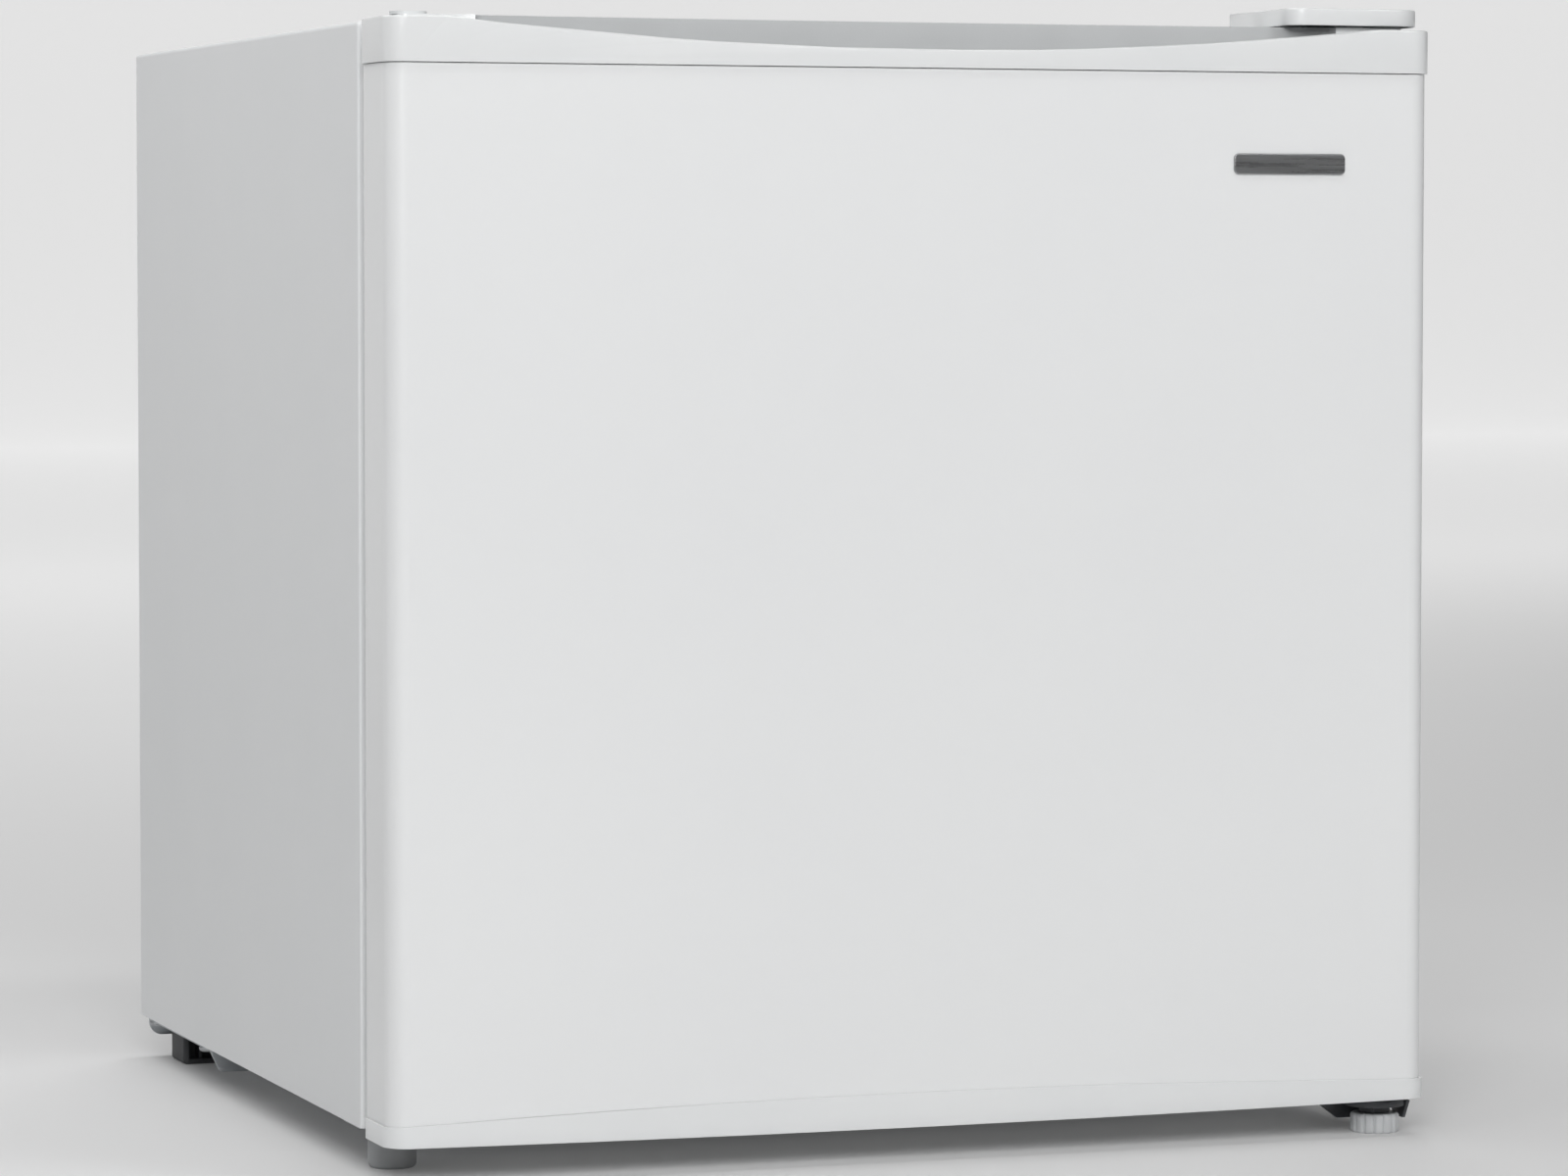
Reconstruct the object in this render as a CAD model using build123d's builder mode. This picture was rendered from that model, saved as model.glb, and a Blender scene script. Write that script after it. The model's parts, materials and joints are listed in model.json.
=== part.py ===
from build123d import *
import os
from math import asin, cos, pi, sin

# Compact cube refrigerator, door hinged on the right.
# Millimetres. Origin on the floor under the middle, +X right, +Y back, +Z up.

os.makedirs("parts", exist_ok=True)

# Overall size
width = 472.0  # over the door caps
depth = 450.0  # door front to cabinet back
height = 492.0  # floor to the top of the hinge cover

# Cabinet
side_inset = 0.5  # cabinet side inside the door cap's end
hinge_cover_rise = 10.0  # hinge cover above the cabinet top
under_gap = 19.5  # floor to the cabinet's bottom edge
sheet = 0.8
cabinet_corner = 2.0
front_fold = 1.2  # rounding of the fold between each side and the front flange
edge_return = 30.0  # steel flange round the opening, which the gasket sticks to
bottom_return = 12.0
side_wall = 38.0
top_wall = 38.0
floor_wall = 36.0
back_wall = 38.0
liner_wall = 1.6
liner_corner = 14.0
liner_side_corner = 8.0
bay_depth = 137.0
bay_height = 166.0  # floor to the top of the compressor bay
step_wall = 30.0
fit = 0.3  # gap between pieces that lie side by side
foam_gap = 0.2

# Door
door_thickness = 39.0
door_gap = 6.0
cap_proud = 1.3
panel_corner = 9.0
cap_wall = 2.2
cap_seam = height - 28.0
cap_groove = 0.3
lip_top = height - 9.2
band_top = height - 8.0
lip_dip = 11.3
lip_half = 210.0
lip_depth = 9.0
pocket_half = 194.0
pocket_depth = 16.0
pocket_bow = 7.0
pocket_floor = height - 40.0
sill_bottom = 15.2
sill_bottom_end = 16.8
sill_top = 30.0
sill_top_end = 25.2
panel_bottom = 20.0
door_return = 10.0
dyke_half = 188.0
dyke_width = 10.0
dyke_depth = 27.0
dyke_margin = 5.0  # dyke inside the liner's opening, top and bottom
gasket_half = 221.0
gasket_width = 16.0
gasket_lift = 0.3
magnet_width = 9.0
magnet_thickness = 2.4

# Hinge and feet
pivot_inset = 16.0  # pivot from the door's right end
pivot_setback = 22.0  # pivot behind the door's front
pin_radius = 4.0
pin_clearance = 0.05
bush_wall = 1.95
plate = 2.5
wheel_radius = 10.75
wheel_height = 8.5
left_foot_radius = 10.3
left_foot_x = -217.0
left_foot_y = -162.0

# Inside fittings
evap_left = -185.0
evap_right = 85.0
evap_front = -30.0
evap_back = 172.0
evap_gap = 6.0  # evaporator below the liner's ceiling
evap_height = 108.0
evap_wall = 1.6
shelf_rise = 16.2  # shelf above the liner's step
wire = 2.5
frame_wire = 5.0
bin_depth = 74.0
bin_wall = 2.0
bin_gap = 1.5  # bin inside the dyke at each end
bin_lift_gap = 2.5  # lower bin above the dyke's bottom bar
lower_bin_height = 96.0
upper_bin = 222.0
upper_bin_height = 52.0
compressor_x = -60.0
compressor_y = 152.0
compressor_radius = 54.0
tube = 2.4  # outer radius of the condenser tube

# Positions worked out from the sizes
door_front = -depth / 2
cap_back = door_front + door_thickness
cabinet_front = cap_back + door_gap
cabinet_back = depth / 2
cabinet_half = width / 2 - side_inset
cabinet_top = height - hinge_cover_rise
cabinet_bottom = under_gap
liner_half = cabinet_half - side_wall
liner_top = cabinet_top - top_wall
liner_bottom = cabinet_bottom + floor_wall
liner_back = cabinet_back - back_wall
bay_front = cabinet_back - bay_depth
step_front = bay_front - step_wall
step_top = bay_height + step_wall
shelf_level = step_top + shelf_rise
door_half = width / 2
panel_front = door_front + cap_proud
panel_half = door_half - cap_proud
door_back = cap_back - 1.0
pivot_x = door_half - pivot_inset
pivot_y = door_front + pivot_setback
evap_top = liner_top - evap_gap
evap_bottom = evap_top - evap_height
inside_half = cabinet_half - sheet - fit


def facing(y):
    """Upright plane at depth y, drawn in X and Z; a negative extrusion goes back."""
    return Plane.XZ.offset(-y)


def block(x, y, z, mode=Mode.ADD):
    """Box between two values along each axis."""
    middle = ((x[0] + x[1]) / 2, (y[0] + y[1]) / 2, (z[0] + z[1]) / 2)
    with Locations(middle):
        Box(x[1] - x[0], y[1] - y[0], z[1] - z[0], mode=mode)


def post(x, y, z, radius, mode=Mode.ADD):
    """Upright cylinder between two heights."""
    with Locations((x, y, (z[0] + z[1]) / 2)):
        Cylinder(radius, z[1] - z[0], mode=mode)


def save(piece, name):
    """Label the finished piece and write its file."""
    piece.part.label = name
    export_step(piece.part, f"parts/{name}.step")


def interior(grow):
    """Stepped storage space, grown outwards by an even amount."""
    floor_level = liner_bottom - grow
    front_of_step = step_front + grow
    top_of_step = step_top - grow
    back = liner_back + grow
    top = liner_top + grow
    with BuildPart() as space:
        with BuildSketch(Plane.YZ.offset(-liner_half - grow)) as profile:
            with BuildLine():
                Polyline(
                    (cabinet_front, floor_level),
                    (front_of_step, floor_level),
                    (front_of_step, top_of_step),
                    (back, top_of_step),
                    (back, top),
                    (cabinet_front, top),
                    close=True,
                )
            make_face()
            behind = profile.vertices().filter_by(lambda v: v.X > cabinet_front + 1)
            inner = behind.filter_by(lambda v: abs(v.X - front_of_step) < 1 and v.Y > floor_level + 1)
            outer = behind.filter_by(lambda v: v not in inner)
            fillet(outer, liner_corner + grow)
            hollow = profile.vertices().filter_by(
                lambda v: abs(v.X - front_of_step) < 0.1 and abs(v.Y - top_of_step) < 0.1
            )
            fillet(hollow, liner_corner - grow)
        extrude(amount=2 * (liner_half + grow))
        ends = space.faces().filter_by(Axis.X)
        rim = ends.edges().filter_by(lambda e: e.center().Y > cabinet_front + 0.1)
        fillet(rim, liner_side_corner + grow)
    return space.part


def door_plan(inset, front_radius, back_radius, back):
    """Door outline seen from above, inside the caps by an even amount."""
    with BuildSketch() as plan:
        middle = (door_front + inset + back) / 2
        with Locations((0, middle)):
            Rectangle(2 * (door_half - inset), back - door_front - inset)
        corners = plan.vertices().group_by(Axis.Y)
        fillet(corners[0], front_radius)
        if back_radius > 0:
            fillet(plan.vertices().group_by(Axis.Y)[-1], back_radius)
    return plan.sketch


space_inside = interior(0)
space_outside = interior(liner_wall)
space_foam = interior(liner_wall + foam_gap)

# ---- Cabinet -------------------------------------------------------------

# Painted steel wrap: two sides and the top in one sheet, flanged in round the opening
nut_plate_length = 54.0
nut_plate_width = 18.0
nut_plate_thickness = 3.0
hinge_screw_y = cabinet_front + 15.0
hinge_screw_spacing = 18.0
hinge_screw_xs = [pivot_x - 2.0 - number * hinge_screw_spacing for number in range(3)]
plug_xs = [-x for x in hinge_screw_xs]
screw_radius = 2.5
screw_hole = 2.7

with BuildPart() as cabinet_shell:
    with BuildSketch(facing(cabinet_front)) as wrap:
        with Locations((0, (cabinet_top + cabinet_bottom) / 2)):
            Rectangle(2 * cabinet_half, cabinet_top - cabinet_bottom)
        fillet(wrap.vertices().group_by(Axis.Y)[-1], cabinet_corner)
        offset(amount=-sheet, mode=Mode.SUBTRACT)
        with Locations((0, cabinet_bottom)):
            Rectangle(2 * (cabinet_half - bottom_return), 4 * sheet, mode=Mode.SUBTRACT)
    extrude(amount=-(cabinet_back - cabinet_front))
    with BuildSketch(facing(cabinet_front)) as flange:
        with Locations((0, (cabinet_top + cabinet_bottom) / 2)):
            Rectangle(2 * cabinet_half, cabinet_top - cabinet_bottom)
        fillet(flange.vertices().group_by(Axis.Y)[-1], cabinet_corner)
        with Locations((0, (cabinet_top - edge_return + cabinet_bottom - 1) / 2)):
            Rectangle(
                2 * (cabinet_half - edge_return),
                cabinet_top - edge_return - cabinet_bottom + 1,
                mode=Mode.SUBTRACT,
            )
    extrude(amount=-sheet)
    front_face = cabinet_shell.faces().sort_by(Axis.Y)[0]
    outer_edges = front_face.edges().filter_by(
        lambda e: abs(e.center().X) > cabinet_half - 3 or e.center().Z > cabinet_top - 3
    )
    fillet(outer_edges, front_fold)
    for x in hinge_screw_xs + plug_xs:
        post(x, hinge_screw_y, (cabinet_top - 2, cabinet_top + 1), screw_hole, Mode.SUBTRACT)
save(cabinet_shell, "cabinet_shell")

rail_top = cabinet_bottom + edge_return
rail_half = cabinet_half - edge_return - fit
rail_depth = 40.0
with BuildPart() as front_rail:
    block((-rail_half, rail_half), (cabinet_front, cabinet_front + sheet), (cabinet_bottom, rail_top))
    block(
        (-rail_half, rail_half),
        (cabinet_front, cabinet_front + rail_depth),
        (cabinet_bottom, cabinet_bottom + sheet),
    )
    front_edge = front_rail.edges().filter_by(Axis.X).group_by(Axis.Z)[0].sort_by(Axis.Y)[0]
    fillet(front_edge, 0.6)
    with Locations((left_foot_x + 14, left_foot_y, cabinet_bottom)):
        Box(40, 30, 6, mode=Mode.SUBTRACT)
save(front_rail, "front_rail")

# Stepped sheet under the foam and over the compressor bay
pan_bottom = cabinet_bottom + sheet + fit
pan_top = pan_bottom + sheet
suction_x = 40.0
suction_y = cabinet_back - 19.0
tube_hole = 5.0
with BuildPart() as bottom_panel:
    with BuildSketch(Plane.YZ.offset(-inside_half)):
        with BuildLine():
            Polyline(
                (cabinet_front + 4, pan_bottom),
                (bay_front, pan_bottom),
                (bay_front, bay_height),
                (cabinet_back - 2, bay_height),
                (cabinet_back - 2, bay_height + sheet),
                (bay_front - sheet, bay_height + sheet),
                (bay_front - sheet, pan_top),
                (cabinet_front + 4, pan_top),
                close=True,
            )
        make_face()
    extrude(amount=2 * inside_half)
    post(suction_x, suction_y, (bay_height - 2, bay_height + 3), tube_hole, Mode.SUBTRACT)
    for x in (-1, 1):
        block(
            (x * cabinet_half - 9, x * cabinet_half + 9),
            (cabinet_back - 26, cabinet_back - 12),
            (bay_height - 2, bay_height + 3),
            Mode.SUBTRACT,
        )
    post(left_foot_x, left_foot_y, (pan_bottom - 1, pan_top + 1), 4.6, Mode.SUBTRACT)
save(bottom_panel, "bottom_panel")

back_panel_bottom = bay_height + sheet + fit
with BuildPart() as back_panel:
    block(
        (-inside_half, inside_half),
        (cabinet_back - 2 - sheet, cabinet_back - 2),
        (back_panel_bottom, cabinet_top - sheet - fit),
    )
    block(
        (-inside_half, inside_half),
        (cabinet_back - 2, cabinet_back),
        (back_panel_bottom, back_panel_bottom + sheet),
    )
    for level in range(5):
        z = back_panel_bottom + 50 + 55 * level
        block((-150, 150), (cabinet_back - 2, cabinet_back - 1.2), (z, z + 12))
save(back_panel, "back_panel")

# Plastic liner with its front flange and the moulded shelf ledges
ledge_depth = 7.0
ledge_gap = frame_wire + 2.4
liner_flange_half = cabinet_half - edge_return - fit
with BuildPart() as inner_liner:
    add(space_outside)
    block(
        (-liner_flange_half, liner_flange_half),
        (cabinet_front, cabinet_front + liner_wall),
        (rail_top + fit, cabinet_top - edge_return - fit),
    )
    add(space_inside, mode=Mode.SUBTRACT)
    for side in (-1, 1):
        for z in (shelf_level - ledge_gap / 2 - 4, shelf_level + ledge_gap / 2):
            inner_x = side * (liner_half - ledge_depth)
            outer_x = side * (liner_half + liner_wall / 2)
            block(
                (min(inner_x, outer_x), max(inner_x, outer_x)),
                (cabinet_front + 60, liner_back - 14),
                (z, z + 4),
            )
    with Locations(Location((suction_x, liner_back, evap_top - 60), (90, 0, 0))):
        Cylinder(tube_hole, 20, mode=Mode.SUBTRACT)
save(inner_liner, "inner_liner")

# ---- Refrigeration circuit -----------------------------------------------

# Condenser: one tube looped against the left side, across the back and against the right side
wrap_x = cabinet_half - sheet - fit - tube
loop_top = cabinet_top - 24.0
loop_turn = loop_top - 16.0
loop_bottom = liner_bottom + 8.0
loop_count = 6
loop_first = bay_front - 13.0
loop_last = cabinet_front + 30.0
tail_x = wrap_x - 16.0
tail_y = cabinet_back - 19.0
tail_z = 96.0
tail_turn = bay_height + 20.0
cross_y = cabinet_back - 2 - sheet - fit - tube


def side_loop(side):
    """Points from the compressor bay, up and down one side, to its top rear corner."""
    x = side * wrap_x
    points = [(side * tail_x, tail_y, tail_z), (x, tail_y, tail_z), (x, tail_y, tail_turn)]
    start = tail_turn
    for number in range(loop_count):
        y = loop_first + (loop_last - loop_first) * number / (loop_count - 1)
        end = loop_turn if number % 2 else loop_bottom
        if number == loop_count - 1:
            end = loop_top
        points += [(x, y, start), (x, y, end)]
        start = end
    return points + [(x, cross_y, loop_top)]


with BuildPart() as condenser_tube:
    with BuildLine() as route:
        FilletPolyline(*side_loop(-1), *side_loop(1)[::-1], radius=8)
    with BuildSketch(Plane(origin=route.line @ 0, z_dir=route.line % 0)):
        Circle(tube)
    sweep()
save(condenser_tube, "condenser_tube")

# Compressor: two drawn steel cans welded at a rim, standing on a foot plate
base_top = cabinet_bottom - fit
base_plate_thickness = 2.0
base_front = bay_front + 14.0
grommet_height = 7.5
foot_plate_bottom = base_top + grommet_height
foot_plate_top = foot_plate_bottom + 2.2
can_bottom = foot_plate_top
can_top = can_bottom + 122.0
can_rim = can_bottom + 66.0
mount_spread_x = 76.0
mount_spread_y = 36.0
mount_points = [
    (compressor_x + sx * mount_spread_x, compressor_y + sy * mount_spread_y)
    for sx in (-1, 1)
    for sy in (-1, 1)
]
stub_z = can_rim + 22.0
tube_small = 3.0
can_bend = 22.0
shell_x = compressor_x + compressor_radius - 2
dome_half = compressor_radius - 3
dome_rise = can_top - can_rim - 26
dome_radius = (dome_half**2 + dome_rise**2) / (2 * dome_rise)

with BuildPart() as compressor:
    with BuildSketch(Plane.XZ.offset(-compressor_y)):
        with BuildLine():
            bottom = Line((compressor_x, can_bottom), (shell_x - can_bend, can_bottom))
            lower = ThreePointArc(
                bottom @ 1,
                (shell_x - can_bend * (1 - sin(pi / 4)), can_bottom + can_bend * (1 - cos(pi / 4))),
                (shell_x, can_bottom + can_bend),
            )
            side = Line(lower @ 1, (shell_x, can_rim - 3))
            rim = Polyline(
                side @ 1,
                (shell_x + 2, can_rim - 3),
                (shell_x + 2, can_rim + 1),
                (shell_x - 1, can_rim + 1),
                (shell_x - 1, can_rim + 26),
            )
            dome_angle = asin(dome_half / dome_radius) / 2
            dome = ThreePointArc(
                rim @ 1,
                (
                    compressor_x + dome_radius * sin(dome_angle),
                    can_top - dome_radius * (1 - cos(dome_angle)),
                ),
                (compressor_x, can_top),
            )
            Line(dome @ 1, bottom @ 0)
        make_face()
    revolve(axis=Axis((compressor_x, compressor_y, 0), (0, 0, 1)))
save(compressor, "compressor")

with BuildPart() as compressor_feet:
    with BuildSketch(Plane.XY.offset(foot_plate_bottom)):
        with Locations((compressor_x, compressor_y)):
            RectangleRounded(2 * mount_spread_x + 26, 2 * mount_spread_y + 26, 12)
            Circle(28, mode=Mode.SUBTRACT)
        with Locations(*mount_points):
            Circle(6, mode=Mode.SUBTRACT)
    extrude(amount=foot_plate_top - foot_plate_bottom)
save(compressor_feet, "compressor_feet")

with BuildPart() as compressor_grommets:
    for x, y in mount_points:
        post(x, y, (base_top, foot_plate_bottom), 9.5)
        post(x, y, (foot_plate_bottom, foot_plate_top), 5.7)
        post(x, y, (foot_plate_top, foot_plate_top + 3), 8.5)
        post(x, y, (base_top, foot_plate_top + 3), 3.3, Mode.SUBTRACT)
save(compressor_grommets, "compressor_grommets")

with BuildPart() as compressor_bolts:
    for x, y in mount_points:
        post(x, y, (base_top - base_plate_thickness - 2.5, foot_plate_top + 5), 3.0)
        with BuildSketch(Plane.XY.offset(foot_plate_top + 3)):
            with Locations((x, y)):
                RegularPolygon(5.5, 6)
        extrude(amount=4)
save(compressor_bolts, "compressor_bolts")

# Base plate across the bay, flanged down at its front and back
base_half = cabinet_half - 3.0
flange_front_bottom = 6.8
flange_back_bottom = 10.0
foot_block_half = 12.0
foot_block_x = cabinet_half - 10.5 - foot_block_half
foot_block_front = cabinet_back - 44.0
foot_block_back = cabinet_back - 17.0
base_screw_y = [base_front + 12, cabinet_back - 10]
base_screws = [(side * (cabinet_half - 6), y) for side in (-1, 1) for y in base_screw_y]
inlet_x = 150.0
inlet_radius = 7.0
vent_first = compressor_x + mount_spread_x + 18.0
vent_spacing = 22.0
vent_width = 8.0

with BuildPart() as base_plate:
    block(
        (-base_half, base_half),
        (base_front, cabinet_back - 3),
        (base_top - base_plate_thickness, base_top),
    )
    with BuildSketch(facing(base_front)) as front_flange:
        with Locations((0, (flange_front_bottom + base_top) / 2)):
            Trapezoid(2 * base_half, base_top - flange_front_bottom, 65, rotation=180)
        fillet(front_flange.vertices().group_by(Axis.Y)[0], 3)
    extrude(amount=-base_plate_thickness)
    with BuildSketch(facing(cabinet_back - 3 - base_plate_thickness)) as back_flange:
        with Locations((0, (flange_back_bottom + base_top) / 2)):
            Rectangle(2 * base_half, base_top - flange_back_bottom)
        fillet(back_flange.vertices().group_by(Axis.Y)[0], 6)
    extrude(amount=-base_plate_thickness)
    for x, y in mount_points:
        post(x, y, (base_top - 5, base_top + 1), 3.1, Mode.SUBTRACT)
    for x, y in base_screws:
        post(x, y, (base_top - 5, base_top + 1), 2.4, Mode.SUBTRACT)
    for side in (-1, 1):
        with Locations((side * foot_block_x, (foot_block_front + foot_block_back) / 2, base_top)):
            Cylinder(3.2, 10, mode=Mode.SUBTRACT)
    post(inlet_x, cabinet_back - 30, (base_top - 5, base_top + 1), inlet_radius, Mode.SUBTRACT)
    for number in range(5):
        x = vent_first + vent_spacing * number
        block(
            (x, x + vent_width),
            (base_front + 20, base_front + 80),
            (base_top - 5, base_top + 1),
            Mode.SUBTRACT,
        )
save(base_plate, "base_plate")

# Rear feet: moulded blocks under the base plate, open towards the front
foot_block_top = base_top - base_plate_thickness
with BuildPart() as rear_feet:
    for side in (-1, 1):
        x = side * foot_block_x
        block(
            (x - foot_block_half, x + foot_block_half),
            (foot_block_front, foot_block_back),
            (0, foot_block_top),
        )
    fillet(rear_feet.edges().filter_by(Axis.Z), 2.5)
    chamfer(rear_feet.faces().group_by(Axis.Z)[0].edges(), 1.0)
    for side in (-1, 1):
        x = side * foot_block_x
        block(
            (x - foot_block_half + 2.5, x + foot_block_half - 2.5),
            (foot_block_front - 1, foot_block_front + 9),
            (2.6, foot_block_top - 2.6),
            Mode.SUBTRACT,
        )
        for rib in (-3.6, 3.6):
            block(
                (x + rib - 0.8, x + rib + 0.8),
                (foot_block_front + 1.5, foot_block_front + 10),
                (2, foot_block_top - 2),
            )
        post(x, (foot_block_front + foot_block_back) / 2, (foot_block_top - 1, foot_block_top + 3), 3.0)
save(rear_feet, "rear_feet")

with BuildPart() as base_screw_set:
    for x, y in base_screws:
        post(x, y, (base_top - base_plate_thickness - 2, base_top - base_plate_thickness), 4.2)
        post(x, y, (base_top - base_plate_thickness, base_top), 2.2)
save(base_screw_set, "base_screws")

# Terminal box on the compressor's right side
box_x = compressor_x + compressor_radius + 1.0
with BuildPart() as start_relay:
    block((box_x, box_x + 12), (compressor_y - 16, compressor_y + 16), (can_rim - 38, can_rim - 8))
save(start_relay, "start_relay")

with BuildPart() as terminal_cover:
    block((box_x, box_x + 24), (compressor_y - 25, compressor_y + 25), (can_rim - 50, can_rim - 5))
    outer_edges = terminal_cover.faces().sort_by(Axis.X)[-1].edges()
    fillet(outer_edges, 3)
    block(
        (box_x - 1, box_x + 22),
        (compressor_y - 23, compressor_y + 23),
        (can_rim - 48, can_rim - 7),
        Mode.SUBTRACT,
    )
save(terminal_cover, "terminal_cover")


def pipe(points, radius, bend):
    """Round tube along straight runs with bends."""
    with BuildPart() as run:
        with BuildLine() as centre:
            FilletPolyline(*points, radius=bend)
        with BuildSketch(Plane(origin=centre.line @ 0, z_dir=centre.line % 0)):
            Circle(radius)
        sweep()
    return run


can_side = compressor_radius - 3.0
line_z = evap_top - 60
suction_tube = pipe(
    [
        (compressor_x + can_side + 0.2, compressor_y + 10, stub_z),
        (suction_x, compressor_y + 10, stub_z),
        (suction_x, suction_y, stub_z),
        (suction_x, suction_y, line_z),
        (suction_x, evap_back + 0.2, line_z),
    ],
    tube_small,
    9,
)
save(suction_tube, "suction_tube")

discharge_tube = pipe(
    [
        (compressor_x - can_side - 0.2, compressor_y, stub_z),
        (compressor_x - can_side - 40, compressor_y, stub_z),
        (compressor_x - can_side - 40, tail_y, stub_z),
        (compressor_x - can_side - 40, tail_y, tail_z),
        (-tail_x + 0.1, tail_y, tail_z),
    ],
    tube,
    8,
)
save(discharge_tube, "discharge_tube")

process_tube = pipe(
    [
        (compressor_x, compressor_y - can_side - 0.4, stub_z - 12),
        (compressor_x, compressor_y - can_side - 8.5, stub_z - 12),
        (compressor_x + 26, compressor_y - can_side - 8.5, stub_z - 12),
    ],
    tube_small,
    5,
)
save(process_tube, "process_tube")

# Filter drier on the condenser's right tail, then the thin capillary with its spare coil
drier_end = tail_x - 0.1
drier_start = drier_end - 76.0
with BuildPart() as filter_drier:
    with BuildSketch(Plane.XY.offset(tail_z)):
        with BuildLine():
            Polyline(
                (drier_start, tail_y),
                (drier_start, tail_y + 2.0),
                (drier_start + 7, tail_y + 2.6),
                (drier_start + 14, tail_y + 8.0),
                (drier_end - 14, tail_y + 8.0),
                (drier_end - 7, tail_y + 3.2),
                (drier_end, tail_y + 3.2),
                (drier_end, tail_y),
                close=True,
            )
        make_face()
    revolve(axis=Axis((0, tail_y, tail_z), (1, 0, 0)))
save(filter_drier, "filter_drier")

coil_radius = 24.0
coil_turns = 4
capillary_radius = 1.0
with BuildPart() as capillary_tube:
    coil_x = drier_start - coil_radius - 12.0
    for turn in range(coil_turns):
        with Locations((coil_x, tail_y - 2 - turn * 2.6, tail_z + 1)):
            Torus(coil_radius, capillary_radius, rotation=(90, 0, 0))
    block(
        (coil_x - 1, coil_x + 1),
        (tail_y - 3.2 - (coil_turns - 1) * 2.6, tail_y - 1),
        (tail_z + coil_radius, tail_z + coil_radius + 1.8),
    )
save(capillary_tube, "capillary_tube")

with BuildPart() as cord_inlet:
    post(inlet_x, cabinet_back - 30, (base_top - 4.5, base_top + 3), inlet_radius + 3)
    with Locations((inlet_x, cabinet_back - 30, base_top - base_plate_thickness / 2)):
        Cylinder(inlet_radius + 3, base_plate_thickness + 0.1, mode=Mode.SUBTRACT)
        Cylinder(inlet_radius - 0.1, base_plate_thickness + 0.2)
    post(inlet_x, cabinet_back - 30, (base_top - 6, base_top + 5), 3.8, Mode.SUBTRACT)
save(cord_inlet, "cord_inlet")

# ---- Hinges on the cabinet -----------------------------------------------

plate_bottom = cabinet_top
arm_bottom = band_top + 2.4
arm_top = arm_bottom + 2.2
arm_half = 9.0
pad_back = hinge_screw_y + 9.0
pad_front = cabinet_front + 8.0
pad_left = hinge_screw_xs[-1] - 8.0
pad_right = pivot_x + arm_half
pin_top_z = cap_seam + 4.0

with BuildPart() as upper_hinge:
    block((pad_left, pad_right), (pad_front, pad_back), (plate_bottom, plate_bottom + 2.2))
    block((pivot_x - 34, pad_right), (pad_front - 2.2, pad_front), (plate_bottom, arm_top))
    block((pivot_x - arm_half, pad_right), (pivot_y, pad_front), (arm_bottom, arm_top))
    block((pivot_x - 34, pad_right), (pad_front - 9, pad_front), (arm_bottom, arm_top))
    post(pivot_x, pivot_y, (arm_bottom, arm_top), arm_half)
    for x in hinge_screw_xs:
        post(x, hinge_screw_y, (plate_bottom - 1, plate_bottom + 3), screw_hole, Mode.SUBTRACT)
    post(pivot_x, pivot_y, (arm_bottom - 1, arm_top + 1), pin_radius - 0.5, Mode.SUBTRACT)
save(upper_hinge, "upper_hinge")

with BuildPart() as upper_hinge_pin:
    post(pivot_x, pivot_y, (pin_top_z, arm_bottom - 0.02), pin_radius)
    post(pivot_x, pivot_y, (arm_bottom - 0.05, arm_top), pin_radius - 0.52)
    chamfer(upper_hinge_pin.faces().sort_by(Axis.Z)[0].edges(), 0.8)
save(upper_hinge_pin, "upper_hinge_pin")


def screws(name, points, seat, length, radius=screw_radius, head=2.6):
    """Pan-head cross screws driven downwards into a level seat."""
    with BuildPart() as group:
        for x, y in points:
            post(x, y, (seat - length, seat), radius)
            post(x, y, (seat, seat + head), 1.9 * radius)
        fillet(group.faces().group_by(Axis.Z)[-1].edges().filter_by(GeomType.CIRCLE), 0.45 * head)
        for x, y in points:
            for across, along in ((radius * 1.7, 0.9), (0.9, radius * 1.7)):
                block(
                    (x - across / 2, x + across / 2),
                    (y - along / 2, y + along / 2),
                    (seat + head - 1.3, seat + head + 1),
                    Mode.SUBTRACT,
                )
    save(group, name)


hinge_screw_length = 9.0
screws(
    "upper_hinge_screws",
    [(x, hinge_screw_y) for x in hinge_screw_xs],
    plate_bottom + 2.2,
    hinge_screw_length,
)

with BuildPart() as nut_plates:
    for xs in (hinge_screw_xs, plug_xs):
        middle = (xs[0] + xs[-1]) / 2
        block(
            (middle - nut_plate_length / 2, middle + nut_plate_length / 2),
            (hinge_screw_y - nut_plate_width / 2, hinge_screw_y + nut_plate_width / 2),
            (cabinet_top - sheet - fit - nut_plate_thickness, cabinet_top - sheet - fit),
        )
    for x in hinge_screw_xs + plug_xs:
        post(x, hinge_screw_y, (cabinet_top - 9, cabinet_top), screw_hole, Mode.SUBTRACT)
save(nut_plates, "nut_plates")

with BuildPart() as cabinet_plugs:
    for x in plug_xs:
        post(x, hinge_screw_y, (cabinet_top - 3.6, cabinet_top), screw_hole - 0.1)
        post(x, hinge_screw_y, (cabinet_top, cabinet_top + 1.4), 5.0)
    fillet(cabinet_plugs.faces().group_by(Axis.Z)[-1].edges(), 0.9)
save(cabinet_plugs, "cabinet_plugs")

# Hinge cover: open underneath, its right end rounded about the pivot
cover_end = pivot_inset - 1.0
cover_left = pad_left - 3.0
cover_back = pad_back + 6.0
cover_bottom = band_top + 0.6
cover_wall = 1.6
cover_crown = 0.8
cover_corner = 8.0

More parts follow.
